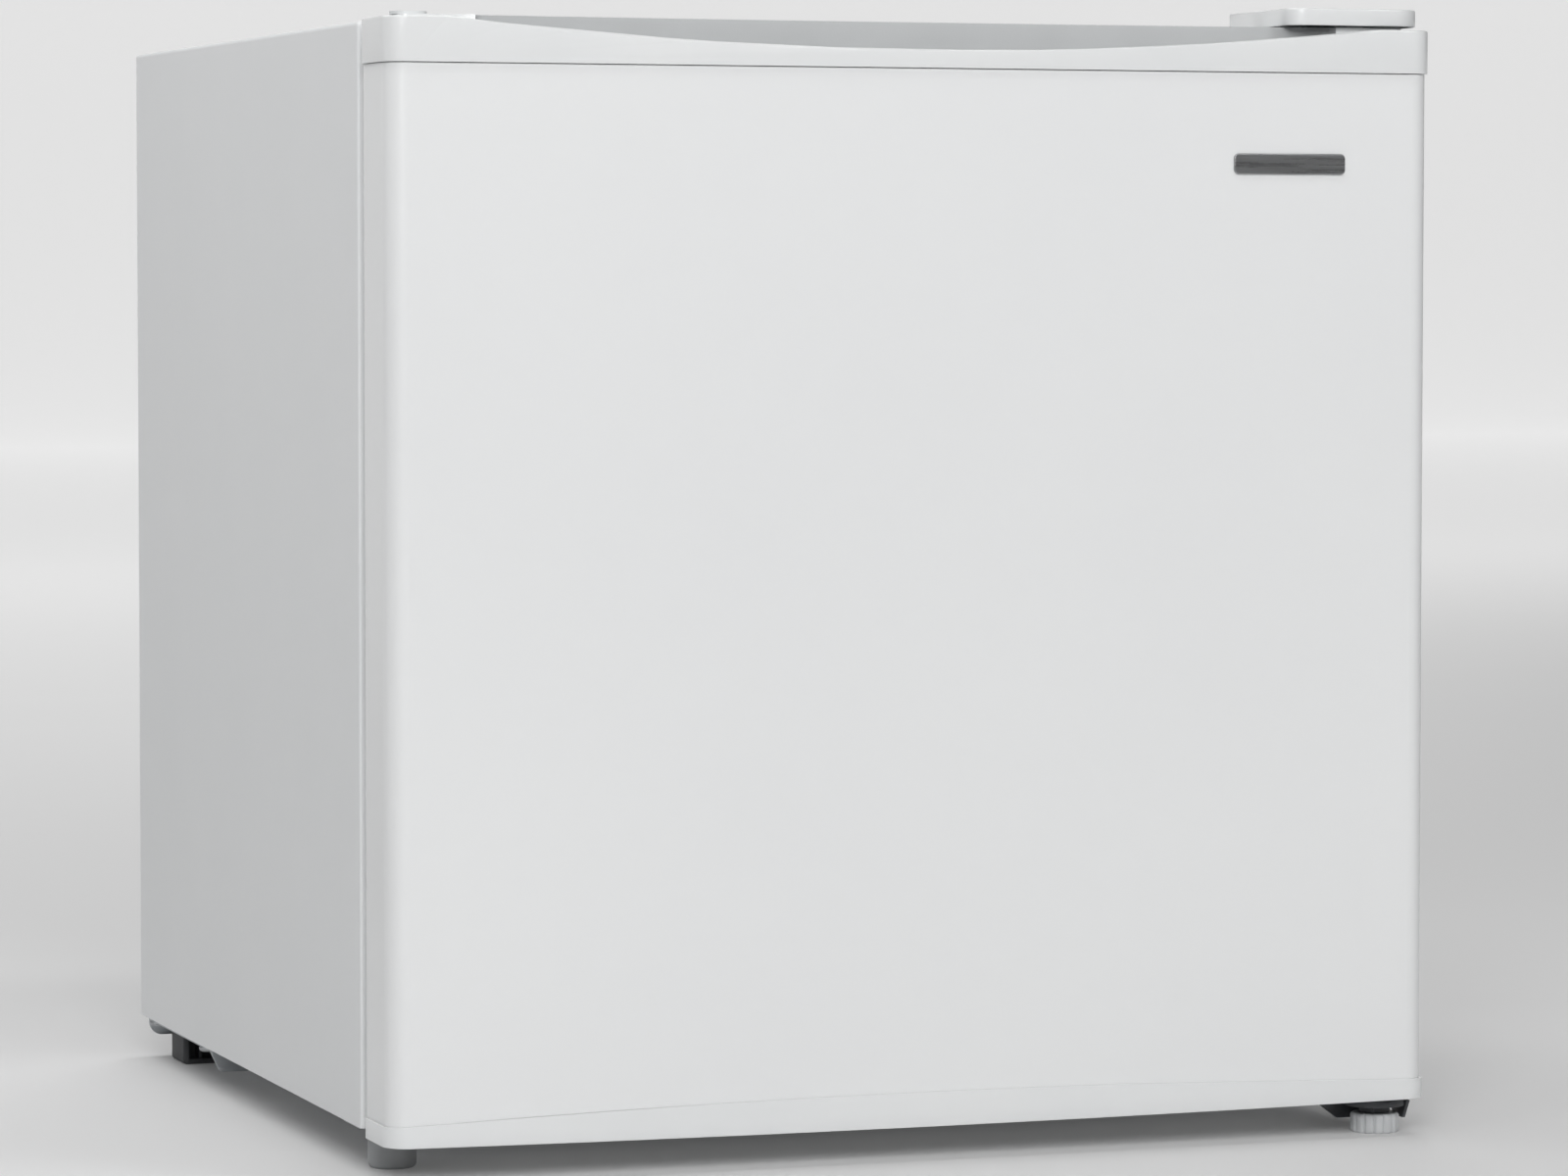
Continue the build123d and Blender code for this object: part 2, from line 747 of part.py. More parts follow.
with BuildPart() as hinge_cover:
    with BuildSketch(Plane.XY.offset(cabinet_top + fit)) as cover_plan:
        with BuildLine():
            front = Line((cover_left, pivot_y - cover_end), (pivot_x, pivot_y - cover_end))
            end = JernArc(front @ 1, (1, 0), cover_end, 90)
            Polyline(end @ 1, (pivot_x + cover_end, cover_back), (cover_left, cover_back), front @ 0)
        make_face()
        fillet(cover_plan.vertices().sort_by(Axis.X)[:2].sort_by(Axis.Y)[0], cover_corner)
    extrude(amount=height - cabinet_top - fit)
    top_rim = hinge_cover.faces().sort_by(Axis.Z)[-1].edges()
    fillet(top_rim, cover_crown)
    with BuildSketch(Plane.XY.offset(cabinet_top - 1)):
        add(cover_plan.sketch)
        offset(amount=-cover_wall, mode=Mode.REPLACE)
    extrude(amount=height - cabinet_top + 1 - cover_wall, mode=Mode.SUBTRACT)
    block(
        (cover_left - 1, door_half + 5),
        (door_front - 5, cabinet_front + 2),
        (cabinet_top - 2, cover_bottom),
        Mode.SUBTRACT,
    )
save(hinge_cover, "hinge_cover")

# Lower hinge: a tongue under the door, joggled up to the bottom rail, with the foot's nut
tongue_top = sill_bottom - 0.9
tongue_bottom = tongue_top - plate
tongue_half = 13.0
stud_radius = 4.0
stud_hole = stud_radius + pin_clearance
lower_pad_back = cabinet_front + 34.0
riser_y = cabinet_front - 1.0
lower_screw_y = cabinet_front + 24.0
lower_screw_xs = [pivot_x - 12.0, pivot_x + 6.0]
nut_bottom = wheel_height + 0.4

with BuildPart() as lower_hinge:
    block(
        (pivot_x - tongue_half, pivot_x + tongue_half),
        (pivot_y, riser_y + plate),
        (tongue_bottom, tongue_top),
    )
    post(pivot_x, pivot_y, (tongue_bottom, tongue_top), tongue_half)
    block(
        (pivot_x - tongue_half, pivot_x + tongue_half),
        (riser_y, riser_y + plate),
        (tongue_bottom, cabinet_bottom - fit),
    )
    block(
        (pivot_x - tongue_half, pivot_x + tongue_half),
        (riser_y, lower_pad_back),
        (cabinet_bottom - fit - plate, cabinet_bottom - fit),
    )
    with BuildSketch(facing(pivot_y + 13.0)):
        with BuildLine():
            Polyline(
                (pivot_x - 25, tongue_top),
                (pivot_x + 4, tongue_top),
                (pivot_x + 4, 4.6),
                (pivot_x - 12, 4.6),
                close=True,
            )
        make_face()
    extrude(amount=-plate)
    with BuildSketch(Plane.YZ.offset(pivot_x + tongue_half)):
        with BuildLine():
            Polyline(
                (pivot_y - 9, tongue_top),
                (pivot_y + 9, tongue_top),
                (pivot_y + 6, 6.0),
                (pivot_y - 4, 6.0),
                close=True,
            )
        make_face()
    extrude(amount=-1.6)
    with BuildSketch(Plane.XY.offset(nut_bottom)):
        with Locations((pivot_x, pivot_y)):
            RegularPolygon(6.5, 6, major_radius=False)
    extrude(amount=tongue_bottom - nut_bottom)
    post(pivot_x, pivot_y, (nut_bottom - 1, tongue_top + 1), stud_hole, Mode.SUBTRACT)
    for x in lower_screw_xs:
        post(x, lower_screw_y, (cabinet_bottom - 6, cabinet_bottom + 1), screw_hole, Mode.SUBTRACT)
save(lower_hinge, "lower_hinge")

with BuildPart() as lower_hinge_screws:
    for x in lower_screw_xs:
        post(x, lower_screw_y, (cabinet_bottom - fit - plate - 2.6, cabinet_bottom - fit - plate), 4.6)
        post(x, lower_screw_y, (cabinet_bottom - fit - plate - 0.5, cabinet_bottom - fit), screw_radius)
save(lower_hinge_screws, "lower_hinge_screws")

# ---- Feet ----------------------------------------------------------------

foot_pin_top = panel_bottom + 10.0
core_radius = 2.6
with BuildPart() as right_foot_stud:
    post(pivot_x, pivot_y, (3.0, foot_pin_top), stud_radius)
    chamfer(right_foot_stud.faces().sort_by(Axis.Z)[-1].edges(), 0.8)
    post(pivot_x, pivot_y, (3.0, wheel_height), stud_radius + 1, Mode.SUBTRACT)
    post(pivot_x, pivot_y, (3.0, wheel_height + 0.2), core_radius)
save(right_foot_stud, "right_foot_stud")

notch_count = 14
with BuildPart() as right_foot_wheel:
    post(pivot_x, pivot_y, (0, wheel_height), wheel_radius)
    fillet(right_foot_wheel.faces().filter_by(Axis.Z).edges(), 0.9)
    with Locations((pivot_x, pivot_y, wheel_height / 2)):
        with PolarLocations(wheel_radius + 0.9, notch_count):
            Cylinder(1.5, wheel_height + 1, mode=Mode.SUBTRACT)
    post(pivot_x, pivot_y, (2.6, wheel_height + 1), core_radius + pin_clearance, Mode.SUBTRACT)
save(right_foot_wheel, "right_foot_wheel")

left_pad_top = cabinet_bottom - 1.2
with BuildPart() as left_foot_stud:
    post(left_foot_x, left_foot_y, (4.0, pan_top + 8), stud_radius)
    post(left_foot_x, left_foot_y, (4.0, left_pad_top), stud_radius + 1, Mode.SUBTRACT)
    post(left_foot_x, left_foot_y, (4.0, left_pad_top + 0.2), core_radius)
save(left_foot_stud, "left_foot_stud")

with BuildPart() as left_foot_pad:
    post(left_foot_x, left_foot_y, (0, left_pad_top), left_foot_radius)
    fillet(left_foot_pad.faces().sort_by(Axis.Z)[0].edges(), 2.2)
    fillet(left_foot_pad.faces().sort_by(Axis.Z)[-1].edges(), 0.6)
    post(left_foot_x, left_foot_y, (3.6, left_pad_top + 1), core_radius + pin_clearance, Mode.SUBTRACT)
save(left_foot_pad, "left_foot_pad")

# Tapped plate that the left foot screws through, lying on the cabinet's turned-in edges
with BuildPart() as left_foot_plate:
    block(
        (-cabinet_half + sheet + fit, left_foot_x + 30),
        (left_foot_y - 13, left_foot_y + 13),
        (cabinet_bottom - 0.9, cabinet_bottom - 0.1),
    )
    post(left_foot_x, left_foot_y, (cabinet_bottom - 2, cabinet_bottom + 2), stud_hole, Mode.SUBTRACT)
save(left_foot_plate, "left_foot_plate")

# ---- Cabinet foam --------------------------------------------------------

slab = 2 * tube + 2 * fit + 3.2
foam_half = cabinet_half - sheet - fit
with BuildPart() as cabinet_foam:
    with BuildSketch(Plane.YZ.offset(-foam_half)):
        with BuildLine():
            Polyline(
                (cabinet_front + 2.2, pan_top + foam_gap),
                (bay_front - sheet - foam_gap, pan_top + foam_gap),
                (bay_front - sheet - foam_gap, bay_height + sheet + foam_gap),
                (cabinet_back - 3, bay_height + sheet + foam_gap),
                (cabinet_back - 3, cabinet_top - sheet - foam_gap),
                (cabinet_front + 2.2, cabinet_top - sheet - foam_gap),
                close=True,
            )
        make_face()
    extrude(amount=2 * foam_half)
    fillet(cabinet_foam.faces().sort_by(Axis.Z)[-1].edges().filter_by(Axis.Y), 2 * cabinet_corner)
    add(space_foam, mode=Mode.SUBTRACT)
    for side in (-1, 1):
        outer = side * (foam_half + 1)
        inner = side * (cabinet_half - sheet - slab)
        block(
            (min(inner, outer), max(inner, outer)),
            (loop_last - 8, cabinet_back),
            (loop_bottom - 8, loop_top + 8),
            Mode.SUBTRACT,
        )
    block(
        (-foam_half, foam_half),
        (cabinet_back - 3 - slab, cabinet_back),
        (loop_top - 8, loop_top + 8),
        Mode.SUBTRACT,
    )
    block(
        (suction_x - 6, suction_x + 6),
        (suction_y - 6, cabinet_back),
        (bay_height, line_z + 8),
        Mode.SUBTRACT,
    )
    block(
        (suction_x - 6, suction_x + 6),
        (liner_back - 5, suction_y),
        (line_z - 8, line_z + 8),
        Mode.SUBTRACT,
    )
    for xs in (hinge_screw_xs, plug_xs):
        middle = (xs[0] + xs[-1]) / 2
        block(
            (middle - nut_plate_length / 2 - 1, middle + nut_plate_length / 2 + 1),
            (hinge_screw_y - nut_plate_width / 2 - 1, hinge_screw_y + nut_plate_width / 2 + 1),
            (cabinet_top - 11, cabinet_top),
            Mode.SUBTRACT,
        )
    post(left_foot_x, left_foot_y, (pan_bottom, pan_top + 12), stud_radius + 2, Mode.SUBTRACT)
save(cabinet_foam, "cabinet_foam")

# ---- Inside fittings -----------------------------------------------------

# Evaporator: a roll-bonded aluminium sleeve with a closed back and raised refrigerant channels
evap_mid = (evap_left + evap_right) / 2
evap_width = evap_right - evap_left
channel_width = 7.0
channel_rise = 1.8
channel_margin = 18.0
with BuildPart() as evaporator_box:
    with BuildSketch(facing(evap_front)):
        with Locations((evap_mid, (evap_top + evap_bottom) / 2)):
            RectangleRounded(evap_width, evap_height, 10)
    extrude(amount=-(evap_back - evap_front))
    with BuildSketch(facing(evap_front - 1)):
        with Locations((evap_mid, (evap_top + evap_bottom) / 2)):
            RectangleRounded(evap_width - 2 * evap_wall, evap_height - 2 * evap_wall, 10 - evap_wall)
    extrude(amount=-(evap_back - evap_front + 1 - evap_wall), mode=Mode.SUBTRACT)
    for side in (-1, 1):
        face_x = evap_mid + side * evap_width / 2
        for number in range(4):
            z = evap_bottom + channel_margin + number * (evap_height - 2 * channel_margin) / 3
            block(
                (face_x - channel_rise, face_x + channel_rise),
                (evap_front + channel_margin, evap_back - channel_margin),
                (z - channel_width / 2, z + channel_width / 2),
            )
        for number in range(3):
            z = evap_bottom + channel_margin + number * (evap_height - 2 * channel_margin) / 3
            y = evap_front + channel_margin if number % 2 else evap_back - channel_margin - channel_width
            block(
                (face_x - channel_rise, face_x + channel_rise),
                (y, y + channel_width),
                (z, z + (evap_height - 2 * channel_margin) / 3),
            )
    for number in range(6):
        x = evap_left + 30 + number * (evap_width - 60) / 5
        block(
            (x - channel_width / 2, x + channel_width / 2),
            (evap_front + channel_margin, evap_back - channel_margin),
            (evap_bottom - channel_rise, evap_bottom + evap_wall / 2),
        )
save(evaporator_box, "evaporator_box")

hanger_xs = [evap_left + 25, evap_right - 25]
hanger_ys = [evap_front + 25, evap_back - 30]
with BuildPart() as evaporator_hangers:
    for x in hanger_xs:
        for y in hanger_ys:
            post(x, y, (evap_top, liner_top), 7)
save(evaporator_hangers, "evaporator_hangers")

# Front frame of the freezer box, with ears that hold the flap's pins
frame_lap = 4.0
frame_thickness = 7.0
frame_front = evap_front - 0.2 - frame_thickness
flap_pivot_y = frame_front - 5.0
flap_pivot_z = evap_top - 3.0
flap_left = evap_left + 5.0
flap_right = evap_right - 5.0
ear_width = 3.0
flap_pin = 2.4
with BuildPart() as freezer_frame:
    with BuildSketch(facing(frame_front)):
        with Locations((evap_mid, (evap_top + evap_bottom) / 2)):
            RectangleRounded(evap_width + 2, evap_height + 2, 9)
            RectangleRounded(
                evap_width - 2 * frame_lap,
                evap_height - 2 * frame_lap,
                6,
                mode=Mode.SUBTRACT,
            )
    extrude(amount=-frame_thickness)
    for x in (flap_left - ear_width - fit, flap_right + fit):
        block(
            (x, x + ear_width),
            (flap_pivot_y - 3.5, frame_front + 1),
            (flap_pivot_z - 5, flap_pivot_z + 3.5),
        )
    with Locations(Location((evap_mid, flap_pivot_y, flap_pivot_z), (0, 90, 0))):
        Cylinder(flap_pin + pin_clearance, evap_width + 20, mode=Mode.SUBTRACT)
save(freezer_frame, "freezer_frame")

flap_bottom = evap_bottom + 1.0
flap_thickness = 2.4
with BuildPart() as freezer_flap:
    block(
        (flap_left, flap_right),
        (flap_pivot_y - flap_thickness / 2, flap_pivot_y + flap_thickness / 2),
        (flap_bottom, flap_pivot_z),
    )
    with Locations(Location((evap_mid, flap_pivot_y, flap_pivot_z), (0, 90, 0))):
        Cylinder(3.4, flap_right - flap_left)
        Cylinder(flap_pin, flap_right - flap_left + 2 * (ear_width + fit))
    for rib in range(9):
        x = flap_left + 14 + rib * (flap_right - flap_left - 28) / 8
        block(
            (x - 1.2, x + 1.2),
            (flap_pivot_y - flap_thickness / 2 - 1.0, flap_pivot_y),
            (flap_bottom + 22, flap_pivot_z - 12),
        )
    with BuildSketch(facing(flap_pivot_y - flap_thickness / 2 - 8)):
        with Locations((evap_mid, flap_bottom + 5)):
            RectangleRounded(70, 10, 4)
            with Locations((0, -1.5)):
                RectangleRounded(64, 6, 2, mode=Mode.SUBTRACT)
    extrude(amount=-8.5)
save(freezer_flap, "freezer_flap")

# Drip tray on two rails under the freezer box
tray_gap = 2.5
rail_drop = 12.0
rail_top_z = evap_bottom - channel_rise - 0.4
tray_left = evap_left + 10.0
tray_right = evap_right - 10.0
tray_front = evap_front - 6.0
tray_back = evap_back - 6.0
tray_depth = 19.0
tray_wall = 1.8
tray_rim = 5.0
with BuildPart() as tray_rails:
    for side in (-1, 1):
        edge = tray_left if side < 0 else tray_right
        web = edge + side * (tray_gap + 0.6)
        block(
            (min(web, web + side * 2), max(web, web + side * 2)),
            (evap_front, evap_back - 10),
            (rail_top_z - rail_drop, rail_top_z),
        )
        lip = web - side * 7
        block(
            (min(web, lip), max(web, lip)),
            (evap_front, evap_back - 10),
            (rail_top_z - rail_drop, rail_top_z - rail_drop + 2),
        )
save(tray_rails, "tray_rails")

tray_rim_top = rail_top_z - rail_drop + 2 + fit + 2.0
with BuildPart() as drip_tray:
    with BuildSketch(Plane.XY.offset(tray_rim_top - tray_depth)) as tray_base:
        with Locations(((tray_left + tray_right) / 2, (tray_front + tray_back) / 2)):
            RectangleRounded(
                tray_right - tray_left - 2 * tray_rim - 6, tray_back - tray_front - 2 * tray_rim, 8
            )
    extrude(amount=tray_depth - 2.0)
    with BuildSketch(Plane.XY.offset(tray_rim_top - 2.0)):
        with Locations(((tray_left + tray_right) / 2, (tray_front + tray_back) / 2)):
            RectangleRounded(tray_right - tray_left, tray_back - tray_front, 6)
    extrude(amount=2.0)
    with BuildSketch(Plane.XY.offset(tray_rim_top - tray_depth + tray_wall)):
        add(tray_base.sketch)
        offset(amount=-tray_wall, mode=Mode.REPLACE)
    extrude(amount=tray_depth, mode=Mode.SUBTRACT)
    block(
        ((tray_left + tray_right) / 2 - 45, (tray_left + tray_right) / 2 + 45),
        (tray_front - 4, tray_front + 2),
        (tray_rim_top - 10, tray_rim_top),
    )
save(drip_tray, "drip_tray")

# Thermostat: housing under the ceiling, switch inside it, shaft and dial in front
housing_left = evap_right + 10.0
housing_right = housing_left + 92.0
housing_front = -20.0
housing_back = 84.0
housing_bottom = liner_top - 46.0
dial_x = (housing_left + housing_right) / 2
dial_z = (housing_bottom + liner_top) / 2
dial_radius = 17.0
dial_depth = 11.0
shaft_radius = 3.0
with BuildPart() as thermostat_housing:
    block((housing_left, housing_right), (housing_front, housing_back), (housing_bottom, liner_top - 0.1))
    fillet(thermostat_housing.edges().filter_by(Axis.Z), 6)
    fillet(thermostat_housing.faces().sort_by(Axis.Z)[0].edges(), 3)
    block(
        (housing_left + 2, housing_right - 2),
        (housing_front + 2, housing_back - 2),
        (housing_bottom + 2, liner_top + 1),
        Mode.SUBTRACT,
    )
    with Locations(Location((dial_x, housing_front, dial_z), (90, 0, 0))):
        Cylinder(6, 10, mode=Mode.SUBTRACT)
    with Locations(Location((housing_left, housing_front + 40, dial_z), (0, 90, 0))):
        Cylinder(2, 10, mode=Mode.SUBTRACT)
    for number in range(6):
        x = housing_left + 18 + number * 11
        block(
            (x, x + 5),
            (housing_back - 3, housing_back + 1),
            (housing_bottom + 12, liner_top - 10),
            Mode.SUBTRACT,
        )
save(thermostat_housing, "thermostat_housing")

switch_front = housing_front + 8.0
with BuildPart() as thermostat_switch:
    block((dial_x - 16, dial_x + 16), (switch_front, switch_front + 28), (dial_z - 15, dial_z + 15))
    with Locations(Location((dial_x, switch_front - 2, dial_z), (90, 0, 0))):
        Cylinder(5, 4.2)
    with Locations(Location((dial_x, switch_front, dial_z), (90, 0, 0))):
        Cylinder(shaft_radius + pin_clearance, 30, mode=Mode.SUBTRACT)
save(thermostat_switch, "thermostat_switch")

dial_front = housing_front - 0.6 - dial_depth
with BuildPart() as thermostat_shaft:
    with Locations(Location((dial_x, (dial_front + 3 + switch_front + 10) / 2, dial_z), (90, 0, 0))):
        Cylinder(shaft_radius, switch_front + 10 - dial_front - 3)
save(thermostat_shaft, "thermostat_shaft")

with BuildPart() as thermostat_dial:
    with BuildSketch(facing(housing_front - 0.6)):
        with Locations((dial_x, dial_z)):
            Circle(dial_radius)
    extrude(amount=dial_depth - 4)
    fillet(thermostat_dial.faces().sort_by(Axis.Y)[0].edges(), 1.2)
    with BuildSketch(facing(dial_front)):
        with Locations((dial_x, dial_z)):
            Circle(dial_radius - 4)
    extrude(amount=-5)
    with Locations((dial_x, dial_front + 3, dial_z)):
        Box(5, 6, 2 * dial_radius - 4)
    with Locations(Location((dial_x, housing_front, dial_z), (90, 0, 0))):
        with PolarLocations(dial_radius + 0.6, 24):
            Cylinder(1.0, 2 * dial_depth, mode=Mode.SUBTRACT)
    with Locations(Location((dial_x, (dial_front + 3 + housing_front) / 2, dial_z), (90, 0, 0))):
        Cylinder(shaft_radius, housing_front - dial_front - 3, mode=Mode.SUBTRACT)
save(thermostat_dial, "thermostat_dial")

bulb_y = housing_front + 40
sensing_bulb = pipe(
    [
        (dial_x - 16.1, bulb_y, dial_z),
        (evap_right + 4.2, bulb_y, dial_z),
        (evap_right + 4.2, bulb_y + 60, dial_z),
    ],
    capillary_radius,
    2.5,
)
save(sensing_bulb, "sensing_bulb")

# Shelf: welded wires in a stouter rim
shelf_half = liner_half - 2.0
shelf_front = cabinet_front + 82.0
shelf_back = liner_back - 6.0
cross_wires = 25
rim_radius = frame_wire / 2
wire_radius = wire / 2
with BuildPart() as wire_shelf:
    with BuildLine() as shelf_rim:
        FilletPolyline(
            (shelf_half - rim_radius, shelf_front, shelf_level),
            (shelf_half - rim_radius, shelf_back, shelf_level),
            (-shelf_half + rim_radius, shelf_back, shelf_level),
            (-shelf_half + rim_radius, shelf_front, shelf_level),
            radius=14,
            close=True,
        )
    with BuildSketch(Plane(origin=shelf_rim.line @ 0, z_dir=shelf_rim.line % 0)):
        Circle(rim_radius)
    sweep()
    for number in range(cross_wires):
        x = -shelf_half + 20 + number * (2 * shelf_half - 40) / (cross_wires - 1)
        with Locations(Location((x, (shelf_front + shelf_back) / 2, shelf_level + 0.6), (90, 0, 0))):
            Cylinder(wire_radius, shelf_back - shelf_front)
    for y in (shelf_front + 70, shelf_back - 70):
        with Locations(Location((0, y, shelf_level - 1.2), (0, 90, 0))):
            Cylinder(wire_radius + 0.4, 2 * shelf_half - frame_wire)
save(wire_shelf, "wire_shelf")

# ---- Door ----------------------------------------------------------------

# Steel panel: front and sides in one sheet, turned in at the back
panel_top = cap_seam - cap_groove
with BuildPart() as door_panel:
    with BuildSketch(Plane.XY.offset(panel_bottom)):
        add(door_plan(cap_proud, panel_corner, 0, door_back))
        add(door_plan(cap_proud + sheet, panel_corner - sheet, 0, door_back + 1), mode=Mode.SUBTRACT)
        for side in (-1, 1):
            with Locations((side * (panel_half - door_return / 2), door_back - sheet / 2)):
                Rectangle(door_return, sheet)
    extrude(amount=panel_top - panel_bottom)
save(door_panel, "door_panel")

bush_outer = pin_radius + pin_clearance + bush_wall
boss_radius = bush_outer + 2.5
bottom_boss_top = panel_bottom + 9.0
plug_x = -pivot_x

# Top cap: shell with a lip that dips in one long arc in front of the finger pocket
pocket_front = door_front + lip_depth
pocket_rear = pocket_front + pocket_depth


def pocket_plan(grow):
    """Finger pocket seen from above: straight in front, bowed back, rounded at its ends."""
    with BuildSketch() as plan:
        with BuildLine():
            left = (-pocket_half - grow, pocket_front - grow)
            right = (pocket_half + grow, pocket_front - grow)
            shoulder = pocket_rear - pocket_bow + grow
            Line(left, right)
            Line(right, (pocket_half + grow, shoulder))
            ThreePointArc(
                (pocket_half + grow, shoulder),
                (0, pocket_rear + grow),
                (-pocket_half - grow, shoulder),
            )
            Line((-pocket_half - grow, shoulder), left)
        make_face()
        fillet(plan.vertices().group_by(Axis.Y)[-1], 6 + grow)
        fillet(plan.vertices().group_by(Axis.Y)[0], 1.5 + grow / 2)
    return plan.sketch


pocket_inner = pocket_plan(0)
pocket_outer = pocket_plan(cap_wall)
cap_plan = door_plan(0, panel_corner + cap_proud, 4.0, cap_back)
cap_hollow_plan = door_plan(cap_wall, panel_corner, 2.0, cap_back - cap_wall)
band_front = pocket_front + 3.0
band_inset = 10.0

def lip_cut():
    """Region above the lip's long dipping arc, seen from the front."""
    with BuildSketch(facing(door_front - 1)) as region:
        with BuildLine():
            arc = ThreePointArc(
                (-lip_half, lip_top + 0.05),
                (0, lip_top - lip_dip),
                (lip_half, lip_top + 0.05),
            )
            Polyline(arc @ 1, (lip_half, lip_top + 20), (-lip_half, lip_top + 20), arc @ 0)
        make_face()
    return region.sketch


above_lip = lip_cut()
lip_length = band_front - door_front + 1
with BuildPart() as door_top_cap:
    with BuildSketch(Plane.XY.offset(cap_seam)):
        add(cap_plan)
    extrude(amount=lip_top - cap_seam)
    extrude(above_lip, amount=-lip_length, mode=Mode.SUBTRACT)
    rim = door_top_cap.edges().filter_by(
        lambda e: e.center().Z > lip_top - lip_dip - 1
        and e.center().Y < door_front + 4
        and abs(e.tangent_at(0.5).Z) < 0.3
    )
    fillet(rim, 0.9)
    with BuildSketch(Plane.XY.offset(lip_top - 1)) as band:
        with Locations((0, (band_front + cap_back - 1.5) / 2)):
            Rectangle(2 * (door_half - band_inset), cap_back - 1.5 - band_front)
        fillet(band.vertices(), 3)
    extrude(amount=band_top - lip_top + 1)
    with BuildSketch(Plane.XY.offset(cap_seam - 1)):
        add(cap_hollow_plan)
    extrude(amount=lip_top - lip_dip - cap_wall - cap_seam + 1, mode=Mode.SUBTRACT)
    block(
        (-door_half + 2 * cap_wall, door_half - 2 * cap_wall),
        (band_front + cap_wall, cap_back - cap_wall),
        (cap_seam, lip_top - cap_wall),
        Mode.SUBTRACT,
    )
    with BuildSketch(Plane.XY.offset(pocket_floor - cap_wall)):
        add(pocket_outer)
    extrude(amount=lip_top - 1 - pocket_floor + cap_wall)
    for x in (pivot_x, plug_x):
        post(x, pivot_y, (cap_seam, lip_top - 1), boss_radius)
    extrude(above_lip, amount=-lip_length, mode=Mode.SUBTRACT)
    with BuildSketch(Plane.XY.offset(pocket_floor)):
        add(pocket_inner)
    extrude(amount=60, mode=Mode.SUBTRACT)
    for x in (pivot_x, plug_x):
        post(x, pivot_y, (cap_seam - 1, band_top + 1), bush_outer + 0.05, Mode.SUBTRACT)
save(door_top_cap, "door_top_cap")

# Bottom cap: arched along its top edge, hollow above, standing a little proud of the panel
skirt_wall = cap_proud - 0.15
with BuildPart() as door_bottom_cap:
    with BuildSketch(facing(door_front - 1)):
        with BuildLine():
            high = ThreePointArc(
                (-door_half - 1, sill_top_end), (0, sill_top), (door_half + 1, sill_top_end)
            )
            right = Line(high @ 1, (door_half + 1, sill_bottom_end))
            low = ThreePointArc(
                right @ 1, (0, sill_bottom), (-door_half - 1, sill_bottom_end)
            )
            Line(low @ 1, high @ 0)
        make_face()
    extrude(amount=-(door_thickness + 2))
    with BuildSketch(Plane.XY.offset(0)):
        add(cap_plan)
    extrude(amount=2 * sill_top, mode=Mode.INTERSECT)
    with BuildSketch(Plane.XY.offset(sill_bottom_end + cap_wall)):
        add(door_plan(skirt_wall, panel_corner + 0.15, 2.0, cap_back + 5))
    extrude(amount=sill_top, mode=Mode.SUBTRACT)
    with BuildSketch(Plane.XY.offset(sill_bottom_end + cap_wall - 1)):
        with Locations((0, (cap_back - 1.2 + door_back + 0.3) / 2)):
            Rectangle(2 * (panel_half - 1), 0.4)
    extrude(amount=0.5)
    for x in (pivot_x, plug_x):
        post(x, pivot_y, (sill_bottom_end, bottom_boss_top), boss_radius)
        post(x, pivot_y, (sill_bottom_end - 3, panel_bottom + 10), bush_outer + 0.05, Mode.SUBTRACT)
save(door_bottom_cap, "door_bottom_cap")

# Liner: vacuum-formed sheet with a raised dyke that carries the bins
door_liner_half = panel_half - door_return - fit
door_liner_top = cap_seam - 1.0
door_liner_bottom = bottom_boss_top + 0.5
dyke_bottom = liner_bottom + dyke_margin
dyke_top = liner_top - dyke_margin
dyke_inner = dyke_half - dyke_width
bin_end = dyke_inner - bin_gap
lower_bin = dyke_bottom + dyke_width + bin_lift_gap
lug_height = 8.0
lug_reach = 5.0
lug_back = door_back + 20.0
lug_front = door_back + 8.0
lug_levels = [lower_bin + 52.0, upper_bin + 28.0]

with BuildPart() as door_liner:
    block(
        (-door_liner_half, door_liner_half),
        (door_back - liner_wall, door_back),
        (door_liner_bottom, door_liner_top),
    )
    with BuildSketch(facing(door_back)):
        with Locations((0, (dyke_bottom + dyke_top) / 2)):
            RectangleRounded(2 * dyke_half, dyke_top - dyke_bottom, 16)
            RectangleRounded(2 * dyke_inner, dyke_top - dyke_bottom - 2 * dyke_width, 8, mode=Mode.SUBTRACT)
    extrude(amount=-dyke_depth)
    fillet(door_liner.faces().sort_by(Axis.Y)[-1].edges(), 3.0)
    with BuildSketch(facing(door_back - liner_wall - 1)):
        with Locations((0, (dyke_bottom + dyke_top) / 2)):
            RectangleRounded(
                2 * (dyke_half - liner_wall), dyke_top - dyke_bottom - 2 * liner_wall, 14
            )
            RectangleRounded(
                2 * (dyke_inner + liner_wall),
                dyke_top - dyke_bottom - 2 * (dyke_width - liner_wall),
                9.6,
                mode=Mode.SUBTRACT,
            )
    extrude(amount=-(dyke_depth + 1), mode=Mode.SUBTRACT)
    for z in lug_levels:
        for side in (-1, 1):
            base = side * (dyke_inner + 0.8)
            tip = side * (dyke_inner - lug_reach)
            block((min(base, tip), max(base, tip)), (lug_front, lug_back), (z, z + lug_height))
save(door_liner, "door_liner")

door_foam_back = door_back - liner_wall - foam_gap
with BuildPart() as door_foam:
    with BuildSketch(Plane.XY.offset(panel_bottom + 2)):
        add(door_plan(cap_proud + sheet + foam_gap, panel_corner - sheet - foam_gap, 0, door_foam_back))
    extrude(amount=pocket_floor - cap_wall - 1 - panel_bottom - 2)
    for x in (pivot_x, plug_x):
        post(x, pivot_y, (panel_bottom, panel_bottom + 12), boss_radius + 1, Mode.SUBTRACT)
save(door_foam, "door_foam")

